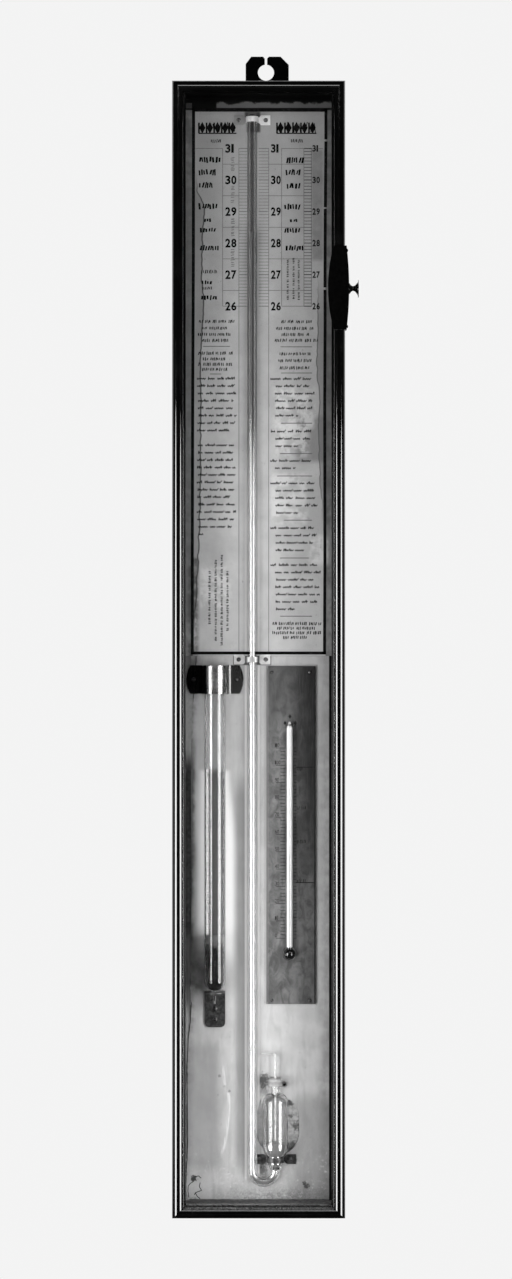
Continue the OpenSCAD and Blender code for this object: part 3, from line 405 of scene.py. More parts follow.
    def soft_edges(self, radius):
        """(the normal with edges rounded by radius, how near an edge a point is)"""
        rounded = self.node("ShaderNodeBevel", {"Radius": radius / 1000}, samples=8).outputs[0]
        inputs = {0: rounded, 1: self.flat_normal()}
        dot = self.node("ShaderNodeVectorMath", inputs, operation="DOT_PRODUCT").outputs["Value"]
        return rounded, self.math("SUBTRACT", 1.0, dot, clamp=True)

    def blend(self, share, a, b):
        """Shader a where share is 0, and b where it is 1."""
        return self.node("ShaderNodeMixShader", {0: share, 1: a, 2: b}).outputs[0]

    def surface(self, shader):
        plug(self.tree, self.tree.nodes["Material Output"].inputs["Surface"], shader)
        return self.mat

    def finish(self, roughness, normal=None, **sockets):
        sockets.update(Base_Color=self.base, Roughness=roughness)
        if normal is not None:
            sockets["Normal"] = normal
        for k, v in sockets.items():
            plug(self.tree, self.bsdf.inputs[k.replace("_", " ")], v)
        return self.mat


def see_through_for_lamps(s, limb=0.0):
    """Let all the light of the lamps through this glass, and limb of what shows at its sides."""
    path = s.node("ShaderNodeLightPath").outputs
    skip = s.math("MAXIMUM", path["Is Shadow Ray"], path["Is Diffuse Ray"])
    if limb:
        facing = s.node("ShaderNodeLayerWeight", {"Blend": 0.5}).outputs["Facing"]
        skip = s.math("MAXIMUM", skip, s.ramp(facing, 0.42, 0.72, 0.0, limb))
    clear = s.node("ShaderNodeBsdfTransparent", {"Color": 0.95}).outputs[0]
    return s.surface(s.blend(skip, s.bsdf.outputs[0], clear))


def ebonised(name, along):
    """Black stain under old polish. along is the way the grain runs, 0 for X and 2 for Z."""
    s = Shader(name)
    stretch = [1, 1, 1]
    stretch[along] = 26
    grain = s.noise(0.9, 4, 0.6, stretch)
    cloud = s.noise(26, 3, 0.55)
    dirt = s.noise(3.2, 4, 0.62)
    edge = s.soft_edges(0.35)[1]
    s.base = s.mix(s.ramp(grain, 0.38, 0.68), 0.0005, 0.0016)
    s.lay(0.005, s.ramp(cloud, 0.5, 0.72), 0.3)
    s.lay(0.014, s.ramp(edge, 0.05, 0.25), s.ramp(dirt, 0.45, 0.8))
    # inside the case the stain is dull, dust lies on its floor and on the rail, and low on its left wall it
    # is paler
    inside = s.times(s.patch(INNER_LOW, INNER_HIGH, 0.0002),
                     s.ramp(s.y, INNER_FRONT - 0.0006, INNER_FRONT - 0.0002))
    facing = s.node("ShaderNodeSeparateXYZ", {0: s.flat_normal()}).outputs
    sideways = s.math("ABSOLUTE", facing[0])
    upward = facing[2]
    s.lay(0.30, inside, s.ramp(upward, 0.6, 0.9), s.ramp(cloud, 0.3, 0.7, 0.7, 1.0))
    left_wall = s.times(s.ramp(s.x, 0.0, -0.01), s.fade_up(SIDE_PALE_FADE), inside)
    s.lay(0.17, left_wall, s.ramp(dirt, 0.3, 0.7, 0.5, 1.0))
    low_rail = s.times(s.patch(*RAIL_SLOPE, 0.0004), s.ramp(upward, 0.3, 0.6))
    s.lay(0.07, low_rail, s.ramp(dirt, 0.3, 0.7, 0.4, 1.0))
    # the case's flat flanks have lost their gloss, and what faces down is sooty
    flank = s.times(s.ramp(sideways, 0.97, 0.99), s.ramp(s.y, INNER_FRONT - 0.001, INNER_FRONT))
    dull = s.math("MAXIMUM", inside, s.math("MAXIMUM", flank, s.ramp(upward, -0.12, -0.35)))
    rough = s.math("ADD", s.ramp(cloud, 0.3, 0.75, 0.05, 0.10), s.ramp(dirt, 0.5, 0.75, 0.0, 0.06))
    rough = s.math("ADD", rough, s.times(dull, 0.5), True)
    pores = s.bump(grain, 0.006, 0.12, s.bump(cloud, 0.05, 0.1))
    return s.finish(rough, pores, IOR=s.straight(dull, 0.0, 1.0, 2.02, 1.25),
                    Specular_IOR_Level=s.straight(dull, 0.0, 1.0, 0.5, 0.06))


def bare_wood():
    s = Shader("bare_wood")
    grain = s.noise(1.6, 5, 0.6, (1, 1, 42), 0.6)
    figure = s.noise(9, 3, 0.5, (1, 1, 30), 1.4)
    dirt = s.noise(34, 4, 0.6)
    fine = s.noise(2.6, 5, 0.66)
    s.base = s.mix(s.ramp(figure, 0.35, 0.65), 0.10, 0.19)
    s.lay(0.06, s.ramp(grain, 0.5, 0.72), 0.6)
    s.lay(0.07, s.ramp(dirt, 0.5, 0.7), 0.45)
    # painted shade on the front: under the case's top above the papers, and right of the chart
    front = s.ramp(s.y, *BOARD_FRONT)
    s.lay(0.002, front, s.ramp(s.z, INNER_HIGH.z - 0.004, INNER_HIGH.z - 0.0025))
    s.lay(0.003, front, s.fade_across(BOARD_SHADE_FADE))
    # the hollow is pale, with painted shade along its edges and dark spots
    hollow = s.times(s.box(HOLLOW, 0.002), s.ramp(s.y, *HOLLOW_DEPTH))
    s.lay(0.58, hollow, s.ramp(fine, 0.36, 0.62, 0.45, 0.95))
    s.lay(0.03, hollow, s.ramp(s.soft_edges(1.6)[1], 0.02, 0.14, 0.0, 0.9))
    for px, py, radius, depth in HOLLOW_DARK_SPOTS:
        s.lay(0.05, s.blotch(px, py, radius, fine), hollow, depth)
    # left of the lining it is pale at the top and low down, and dark between
    for corners, share, tone in BOARD_STRIPS:
        strip = s.times(s.box(corners, 0.0012, 0.018), front)
        s.lay(tone, strip, s.ramp(fine, 0.3, 0.7, share * 0.7, share))
    rough = s.ramp(grain, 0.3, 0.7, 0.62, 0.82)
    return s.finish(rough, s.bump(grain, 0.25, 0.5, s.soft_edges(0.5)[0]), Specular_IOR_Level=0.06)


def metal(name, dark, light, rough, bright_edge, shine=1.0, size=2.4, level=0.5, pits=0.5,
          left_tarnish_and_shade=None, dull=0.19, grey_right=None, bend_shade=0.0):
    """Worked metal, mottled from dark to light, with bright edges.

    It is darker left of the X left_tarnish_and_shade, in the tone dull: tarnish on the top clip, painted
    shadow on the storm strap. It is greyer right of the X grey_right. bend_shade is how much painted shade
    darkens the two bends of a clip over the tube as dark lines, and dims the stretch along the middle.
    """
    s = Shader(name)
    mottle = s.noise(size, 4, 0.62)
    scratch = s.noise(0.5, 2, 0.5, (1, 1, 14))
    normal, edge = s.soft_edges(0.22)
    s.base = s.mix(s.ramp(mottle, 0.36, 0.66), dark, light)
    s.lay(dark * 0.4, s.ramp(s.cells(size * 0.7), 0.16, 0.05), pits)
    s.lay(bright_edge, s.ramp(edge, 0.03, 0.2), 0.7)
    # a darker tone on the left: tarnish on the top clip, painted shadow on the storm strap
    if left_tarnish_and_shade is not None:
        s.lay(dull, s.ramp(s.x, left_tarnish_and_shade - 0.0005, left_tarnish_and_shade + 0.0005, 0.95, 0.0))
    if grey_right is not None:
        s.lay(0.09, s.ramp(s.x, grey_right - 0.0005, grey_right + 0.0005, 0.0, 0.8))
    # painted shade on the two bends of a clip and over the tube
    if bend_shade:
        off = s.away(s.x, TUBE_X)
        s.lay(0.03, s.band(off, CLIP_BEND, 0.0006, 0.0006), bend_shade)
        s.lay(0.16, s.ramp(off, 0.0028, 0.0018), bend_shade * 0.8)
    roughness = s.math("ADD", s.ramp(mottle, 0.3, 0.7, rough * 0.8, rough * 1.35),
                       s.ramp(scratch, 0.4, 0.7, 0.0, 0.07))
    return s.finish(roughness, s.bump(mottle, 0.03, 0.3, normal), Metallic=shine,
                    Specular_IOR_Level=level)


def paper_shader(name, light, dark, spots):
    """Old paper: fibre, cockling, foxing. Returns the shader and its normal, to be built on."""
    s = Shader(name)
    fibre = s.noise(0.8, 4, 0.7)
    cloud = s.noise(22, 4, 0.6)
    wash = s.noise(60, 3, 0.55, (1, 1, 2.2), 0.8)
    fox = s.noise(2.2, 3, 0.5)
    cockle = s.noise(17, 2, 0.5, (0.7, 1, 1.5), 0.5)
    s.base = s.mix(s.ramp(cloud, 0.3, 0.7), dark, light)
    s.lay(dark * 0.86, s.ramp(wash, 0.45, 0.7), 0.3)
    s.lay(light * 1.12, s.ramp(fibre, 0.35, 0.7), 0.16)
    s.lay(dark * 0.42, s.ramp(fox, 0.66, 0.78), spots)
    return s, s.bump(fibre, 0.03, 0.5, s.bump(cockle, 0.9, 0.45))


def beside_tube(s, start, full, shade, glow):
    """The tube's shade on the paper, and a line of light on each side of it from start to full."""
    off = s.away(s.x, TUBE_X)
    s.lay(0.10, s.ramp(off, 0.0040, 0.0028), shade)
    low = s.times(s.ramp(s.z, start, full), s.ramp(s.z, TUBE_FOOT, TUBE_FOOT + 0.004))
    s.lay(0.85, s.band(off, 0.0052, 0.0004, 0.0009), low, glow)


def chart_paper():
    s, normal = paper_shader("chart_paper", 0.47, 0.38, 0.5)
    broad = s.noise(7, 3, 0.6)
    left, right = x_at(CHART_LEFT), x_at(CHART_RIGHT)
    top = z_at(CHART_TOP)
    # painted shade darkens it towards the top, and dirt and painted shade darken it outside the border
    s.lay(0.14, s.fade_up(TOP_SHADE_FADE, 0.0, 0.46))
    outside = s.math("MAXIMUM", s.ramp(s.x, left + 0.0006, left - 0.0006),
                     s.ramp(s.x, right - 0.0006, right + 0.0006))
    s.lay(0.085, outside, s.ramp(broad, 0.25, 0.7, 0.62, 0.92))
    # painted shade, black, above the border under the case's top, with grey at its left corner and a ragged
    # pale strip on the right
    above = s.ramp(s.z, top, top + 0.0010)
    s.lay(0.003, above)
    corner = s.box(CHART_CORNER, 0.0006)
    s.lay(0.06, above, corner, s.ramp(broad, 0.25, 0.7, 0.5, 0.95))
    low, high = [z_at(py) for py in PALE_STRIP_FADE]
    ragged = s.ramp(s.math("ADD", s.z, s.shift(broad, 0.009)), low, high, 1.0, 0.0)
    s.lay(0.12, above, s.box(PALE_STRIP, 0.0008), ragged, 0.9)
    # painted shadow, black, round the tube's head and its top clip
    for corners in TUBE_HEAD_SHADOWS:
        s.lay(0.012, s.box(corners, 0.0022), 0.85)
    # water stain along the left, bounded by a crease
    wobble = s.shift(s.noise(11, 2, 0.5, (40, 1, 1)), 0.0042)
    off = s.past(LEFT_CREASE, LEFT_CREASE_ENDS, wobble)
    stretch = s.band_at(LEFT_CREASE_MIDDLE, 0.162, 0.03)
    s.lay(0.13, s.ramp(off, 0.0004, -0.0010), stretch, 0.5)
    s.lay(0.02, s.ramp(s.math("ABSOLUTE", off), 0.00085, 0.00025), stretch, 0.85)
    # a second crease down the right with a dull strip outside it
    off = s.past(RIGHT_CREASE, RIGHT_CREASE_ENDS, wobble)
    stretch = s.band_at(RIGHT_CREASE_MIDDLE, 0.06, 0.05)
    s.lay(0.10, s.ramp(off, -0.0004, 0.0012), stretch, 0.5)
    s.lay(0.04, s.ramp(s.math("ABSOLUTE", off), 0.0008, 0.0002), stretch, 0.7)
    s.lay(0.10, s.box(DULL_PATCH, 0.006), 0.5)
    # a rusty strip beside the small numbers, and patches rubbed pale lower down
    s.lay(0.09, s.box(RUSTY_STRIP, 0.004), s.ramp(broad, 0.25, 0.75, 0.35, 0.55))
    for corners in RUBBED:
        s.lay(0.66, s.box(corners, 0.007), s.ramp(broad, 0.38, 0.6, 0.0, 0.6))
    # darker along the foot of the border's left side
    s.lay(0.05, s.box(BORDER_FOOT_DARK, 0.004), s.ramp(broad, 0.3, 0.6, 0.2, 0.8))
    shade = s.times(s.fade_up(TUBE_SHADE_FADE, 0.15, 0.75), s.math("SUBTRACT", 1.0, above))
    start, full = [z_at(py) for py in TUBE_LIGHT_FADE]
    beside_tube(s, start, full, shade, 0.30)
    return s.finish(0.85, normal, Specular_IOR_Level=0.1)


def lining_paper():
    s, normal = paper_shader("lining_paper", 0.57, 0.47, 0.55)
    fine = s.noise(1.4, 5, 0.7)
    broad = s.noise(9, 4, 0.62)
    flow = s.noise(7, 4, 0.6, (1, 1, 5), 0.8)
    # greyer at the lower left, in streams, and towards the top
    s.lay(0.20, s.box(LINING_LOW_LEFT, 0.012), 0.42)
    s.lay(0.33, s.ramp(flow, 0.40, 0.70, 0.0, 0.40))
    s.lay(0.28, s.fade_up(GREYER_FADE, 0.0, 0.42))
    # the torn edge down the left: dirt and painted shade darken the paper inside it, more about the middle,
    # bare board outside it, and a dark line between
    off = s.past(TORN_EDGE, TORN_EDGE_ENDS, s.shift(broad, 0.0030))
    edge_dirt_and_shade = s.times(s.ramp(off, 0.0066, 0.0), s.ramp(broad, 0.35, 0.65, 0.25, 0.65),
                    s.fade_up(TORN_EDGE_CLEANER, 0.35, 1.0))
    middle_darkening = s.times(s.ramp(off, 0.0058, 0.0016), s.band_at(DARKER_MIDDLE, 0.070, 0.020), 0.75)
    s.lay(0.11, s.math("ADD", edge_dirt_and_shade, middle_darkening, True))
    deep = s.times(s.ramp(off, 0.0110, 0.0), s.band_at(DEEP_MIDDLE, 0.036, 0.026))
    s.lay(0.05, deep, 0.85)
    bare = s.mix(s.ramp(flow, 0.35, 0.65), 0.16, 0.30)
    bare = s.mix(s.times(s.band_at(DARKER_MIDDLE, 0.070, 0.030), 0.85), bare, 0.03)
    s.lay(bare, s.ramp(off, 0.0003, -0.0005))
    s.lay(0.012, s.ramp(s.math("ABSOLUTE", off), 0.0008, 0.0001), 0.75)
    # dirt and painted shade along the right by the case's side, a darker foot, and painted shade deepest in
    # the corner between them
    right = x_at(LINING_RIGHT)
    edge = s.ramp(s.x, right - 0.012, right + 0.001, 0.0, 0.75)
    s.lay(0.19, edge, s.ramp(broad, 0.3, 0.7, 0.45, 1.0))
    foot = s.times(s.fade_up(FOOT_FADE, 0.0, 0.8), s.fade_across(FOOT_SIDE_FADE, 0.3, 1.0))
    s.lay(0.16, foot, s.ramp(fine, 0.35, 0.65, 0.1, 0.9))
    s.lay(0.16, s.box(LINING_SHADED_CORNER, 0.016), 0.45)
    # worn through in spots, painted shadows by the cistern's cap and clip, a pale flake, a dark edge at the
    # hollow and speckles at the foot
    for px, py, radius, depth in WORN_AND_SHADED_SPOTS:
        s.lay(0.04, s.blotch(px, py, radius, fine), depth)
    s.lay(0.60, s.box(FLAKE, 0.004), s.ramp(fine, 0.35, 0.65, 0.35, 0.75))
    rim = s.ramp(s.away(s.x, s.along(HOLLOW_RIM, HOLLOW_RIM_ENDS)), 0.0008, 0.0003)
    s.lay(0.02, rim, s.band_at(HOLLOW_RIM_MIDDLE, 0.016, 0.004), 0.85)
    speckle = s.ramp(s.noise(2.4, 4, 0.7), 0.56, 0.72, 0.0, 0.45)
    s.lay(0.80, speckle, s.fade_up(SPECKLE_FADE))
    # painted shade, black, beyond its right edge by the case's side
    s.lay(0.004, s.fade_across(RIGHT_SHADE_FADE, 0.0, 0.96))
    # light gathered by the storm glass on each side of it, and the shade between
    lit = s.times(s.fade_up(LIT_TOP_FADE, 1.0, 0.0), s.fade_up(LIT_FOOT_FADE))
    for side, reach_top, reach_low, bright in GATHERED:
        off = s.times(s.math("SUBTRACT", s.x, STORM_X), side)
        far = s.fade_up(REACH_FADE, reach_low, reach_top)
        glow = s.times(s.ramp(off, 0.0052, 0.0066), s.ramp(off, far, s.times(far, 0.56)))
        s.lay(bright, glow, lit, 0.9)
    s.lay(0.15, s.band(s.x, STORM_X, 0.0022, 0.0012), lit, 0.85)
    # painted shade on the stretch between the storm glass and the tube, and the tube's own shade and light
    s.lay(0.19, s.box(SHADED_STRETCH, 0.0068, 0.030), 0.68)
    top = z_at(LINING_TOP)
    beside_tube(s, top + 0.02, top, 0.1, 0.55)
    # the dark line of shade round the middle clip's plate
    low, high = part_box("tube_clip_middle")
    s.lay(0.03, s.patch(low, high, 0.0011), 0.9)
    # the shadow of the crystals, on the left
    shadow = s.box(CRYSTAL_SHADOW, 0.009, 0.028)
    s.lay(0.05, shadow, s.ramp(broad, 0.3, 0.7, 0.5, 0.75))
    # rubbed white streaks low on the left, with a gap in them
    near = s.ramp(s.away(s.x, s.along(STREAK, STREAK_ENDS)), 0.0018, 0.0003)
    off_gap = s.math("SUBTRACT", 1.0, s.band_at(STREAK_GAP, 0.002, 0.002))
    tall = s.times(s.band_at(STREAK_MIDDLE, 0.030, 0.012), off_gap)
    scuff = s.noise(1.2, 4, 0.6, (1, 1, 14), 0.4)
    s.lay(0.85, near, tall, s.ramp(scuff, 0.38, 0.56, 0.0, 0.6))
    return s.finish(0.85, s.bump(fine, 0.05, 0.5, normal), Specular_IOR_Level=0.1)


def clear_pane():
    """Flat glass that lets nearly all light through and mirrors a little, more at a slant."""
    s = Shader("door_glass")
    s.tree.nodes.remove(s.bsdf)
    smear = s.noise(40, 4, 0.6, (1, 1, 1.6), 1.2)
    clear = s.node("ShaderNodeBsdfTransparent", {"Color": 0.985}).outputs[0]
    polish = {"Color": 0.9, "Roughness": s.ramp(smear, 0.4, 0.7, 0.01, 0.09)}
    gloss = s.node("ShaderNodeBsdfGlossy", polish).outputs[0]
    slant = s.node("ShaderNodeLayerWeight", {"Blend": 0.16}).outputs["Facing"]
    return s.surface(s.blend(s.straight(slant, 0.0, 1.0, 0.004, 0.008), clear, gloss))


def blown_glass(name, tint, limb=0.0, shaded_above=None):
    """Blown glass, with painted shade that darkens it above the height shaded_above."""
    s = Shader(name)
    ripple = s.noise(5, 2, 0.5, (1, 1, 9))
    seeds = s.noise(0.9, 1, 0.5)
    s.base = s.mix(s.ramp(seeds, 0.68, 0.74, 0.0, 0.2), tint, tint * 0.8)
    # painted shade: the glass is darker above that height
    if shaded_above is not None:
        s.lay(0.74, s.ramp(s.z, shaded_above - 0.06, shaded_above))
    s.finish(s.ramp(ripple, 0.4, 0.7, 0.0, 0.004), s.bump(ripple, 0.003, 0.02),
             Transmission_Weight=1.0, IOR=1.5)
    return see_through_for_lamps(s, limb)


def mercury():
    s = Shader("mercury")
    film = s.noise(3, 3, 0.6, (1, 1, 4))
    s.base = s.mix(s.ramp(film, 0.45, 0.7, 0.0, 0.3), 0.66, 0.56)
    # painted reflection: a dark line down the mercury, fading in towards the top
    line = s.band(s.x, TUBE_X + 0.0004, 0.0003, 0.0006)
    s.lay(0.12, line, s.fade_up(MERCURY_REFLECTION_FADE), 0.7)
    return s.finish(s.ramp(film, 0.4, 0.7, 0.08, 0.10), s.bump(film, 0.004, 0.02), Metallic=0.72)


def storm_crystals():
    s = Shader("storm_crystals")
    needles = s.noise(1.1, 5, 0.74, (1, 1, 3.0), 2.5)
    clumps = s.cells(2.2, (1, 1, 1.5))
    s.base = s.mix(s.ramp(needles, 0.50, 0.70), 0.0025, 0.09)
    # loose feathers stand up into the liquid
    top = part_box("storm_crystals")[1].z
    height = s.math("ADD", s.z, s.shift(needles, 0.034))
    s.lay(0.13, s.ramp(height, top - 0.012, top - 0.006))
    rim = s.ramp(s.away(s.x, STORM_X), 0.0038, 0.0066)
    s.lay(0.42, rim, s.ramp(needles, 0.48, 0.60, 0.0, 0.9))
    return s.finish(0.6, s.bump(clumps, 0.8, 0.7, s.bump(needles, 0.5, 0.6)), Specular_IOR_Level=0.15)


def thermometer_plate():
    s = Shader("thermometer_plate")
    low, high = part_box("thermometer_plate")
    mottle = s.noise(7.0, 6, 0.68, (1, 1, 1.6), 0.9)
    cloud = s.noise(30, 4, 0.6, (1, 1, 2.2), 1.2)
    brush = s.noise(0.45, 2, 0.5, (1, 1, 30))
    normal, edge = s.soft_edges(0.3)
    s.base = s.mix(s.ramp(mottle, 0.30, 0.72), 0.10, 0.26)
    s.lay(0.085, s.ramp(cloud, 0.42, 0.66), 0.6)
    # dark at the top, down the right and along the right edge, and a painted highlight along the left edge
    s.lay(0.055, s.fade_up(PLATE_TOP_FADE, 0.0, 0.6, PLATE))
    to_right = s.ramp(s.x, low.x + 0.013, high.x - 0.001, 0.0, 0.9)
    s.lay(0.012, to_right, s.fade_up(PLATE_SIDE_FADE, 0.45, 1.0, PLATE))
    s.lay(0.004, s.ramp(s.x, high.x - 0.0012, high.x - 0.0004, 0.0, 0.9))
    s.lay(0.16, s.ramp(brush, 0.55, 0.7), 0.2)
    s.lay(0.36, s.ramp(s.x, low.x + 0.0022, low.x + 0.0010, 0.0, 0.6))
    s.lay(0.24, s.ramp(edge, 0.03, 0.2), 0.5)
    rough = s.ramp(mottle, 0.3, 0.7, 0.42, 0.62)
    return s.finish(rough, s.bump(brush, 0.02, 0.4, normal), Metallic=0.35)


def enamelled_tube():
    """White enamel behind clear glass; the bulb at the foot is full of dark spirit."""
    s = Shader("enamelled_tube")
    low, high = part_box("thermometer_tube")
    cloud = s.noise(4, 3, 0.5, (1, 1, 4))
    s.base = s.mix(s.ramp(cloud, 0.4, 0.7, 0.0, 0.35), 0.80, 0.66)
    line = s.band(s.x, (low.x + high.x) / 2, 0.00012, 0.00022)
    s.lay(0.25, line, s.ramp(s.z, high.z - 0.105, high.z - 0.110, 0.1, 0.75))
    s.lay(0.006, s.ramp(s.z, low.z + 0.0108, low.z + 0.0096))
    return s.finish(s.ramp(cloud, 0.3, 0.7, 0.08, 0.16), s.bump(cloud, 0.04, 0.2),
                    Coat_Weight=0.8, Coat_Roughness=0.05)


def leather():
    s = Shader("leather")
    creased = s.cells(1.1, (1, 1, 0.5), "DISTANCE_TO_EDGE")
    fuzz = s.noise(0.5, 4, 0.7)
    s.base = s.mix(s.ramp(fuzz, 0.35, 0.7), 0.34, 0.66)
    s.lay(0.16, s.ramp(creased, 0.1, 0.02), 0.6)
    return s.finish(0.75, s.bump(creased, 0.3, 0.6, s.bump(fuzz, 0.2, 0.6)))


def cork():
    s = Shader("cork")
    grain = s.noise(1.4, 5, 0.7)
    s.base = s.mix(s.ramp(grain, 0.35, 0.7), 0.14, 0.30)
    s.lay(0.06, s.ramp(s.cells(1.8), 0.3, 0.1), 0.6)
    return s.finish(0.8, s.bump(grain, 0.25, 0.6))


def spirit():
    s = Shader("storm_liquid")
    haze = s.noise(14, 3, 0.5, (1, 1, 3))
    s.base = s.mix(s.ramp(haze, 0.4, 0.7, 0.0, 0.4), 0.93, 0.86)
    s.finish(s.ramp(haze, 0.3, 0.7, 0.0, 0.01), Transmission_Weight=1.0, IOR=1.36)
    return see_through_for_lamps(s)


def dark_spirit():
    s = Shader("thermometer_fluid")
    cloud = s.noise(2, 3, 0.5)
    s.base = s.mix(cloud, 0.008, 0.02)
    return s.finish(0.1, s.bump(cloud, 0.02, 0.2))


def waxed_thread():
    s = Shader("waxed_thread")
    twist = s.noise(0.4, 3, 0.6)
    s.base = s.mix(s.ramp(twist, 0.35, 0.65), 0.22, 0.5)
    return s.finish(0.7, s.bump(twist, 0.1, 0.5))


def ink(name, dark, faded, rough=0.8, level=0.05):
    s = Shader(name)
    wear = s.noise(1.1, 4, 0.7)
    s.base = s.mix(s.ramp(wear, 0.5, 0.72), dark, faded)
    return s.finish(s.ramp(wear, 0.3, 0.7, rough, rough + 0.1), Specular_IOR_Level=level)


wood_up = ebonised("ebonised_up", 2)
wood_across = ebonised("ebonised_across", 0)
iron = metal("black_iron", 0.0004, 0.0012, 0.42, 0.01, 0.2, level=0.03)
tarnished = metal("tarnished_strap", 0.045, 0.11, 0.36, 0.4, 0.6)
brass = metal("brass", 0.66, 0.80, 0.36, 0.88, 0.30, 7.0, pits=0.12, bend_shade=0.9)
half_brass = metal("half_dull_brass", 0.66, 0.80, 0.36, 0.88, 0.30, 7.0, pits=0.12,
                   left_tarnish_and_shade=TUBE_X - CLIP_BEND)
dull_brass = metal("dull_brass", 0.10, 0.26, 0.34, 0.55, 1.0)
# the strap's left flange is darkened by painted shadow
polished = metal("polished_strap", 0.40, 0.48, 0.22, 0.6, 0.93, 30.0, pits=0.1, dull=0.004,
                 left_tarnish_and_shade=x_at(STRAP_SHADED_LEFT), grey_right=x_at(STRAP_GREY_RIGHT))
wire = metal("steel_wire", 0.55, 0.80, 0.34, 0.85, 0.45)
glass = blown_glass("storm_glass_wall", 0.97, limb=0.85)
tube_glass = blown_glass("tube_glass", 0.90, shaded_above=z_at(TUBE_SHADED_ABOVE))

LOOK = {
    wood_up: ["case_side_left", "case_side_right", "door_stile_left", "door_stile_right",
              "glazing_bead_sides", "knob"],
    wood_across: ["case_top", "case_bottom", "door_rail_top", "door_rail_bottom", "glazing_bead_ends"],
    bare_wood(): ["backboard"],
    iron: ["backboard_nails", "hanger_plate", "hanger_screws", "pull_plate", "pull_plate_pins",
           "knob_spindle", "cistern_hook"],
    tarnished: ["storm_bracket", "cistern_clip"],
    brass: ["tube_clip_middle"],
    half_brass: ["tube_clip_top"],
    dull_brass: ["hinge_case_leaves", "hinge_door_leaves", "hinge_pins", "hinge_case_screws",
                 "hinge_door_screws", "tube_clip_screws", "cistern_clip_screws", "storm_bracket_pins",
                 "thermometer_plate_pins", "thermometer_staple", "storm_strap_screws"],
    polished: ["storm_strap"],
    clear_pane(): ["door_pane"],
    glass: ["storm_glass"],
    tube_glass: ["barometer_tube"],
    mercury(): ["mercury"],
    wire: ["cistern_rod"],
    chart_paper(): ["register_paper"],
    lining_paper(): ["lining_paper"],
    leather(): ["cistern_cap"],
    cork(): ["storm_stopper"],
    spirit(): ["storm_liquid"],
    storm_crystals(): ["storm_crystals"],
    thermometer_plate(): ["thermometer_plate"],
    enamelled_tube(): ["thermometer_tube"],
    dark_spirit(): ["thermometer_fluid"],
}
for material, names in LOOK.items():
    for name in names:
        mesh = nodes[name].data
        mesh.materials.clear()
        mesh.materials.append(material)


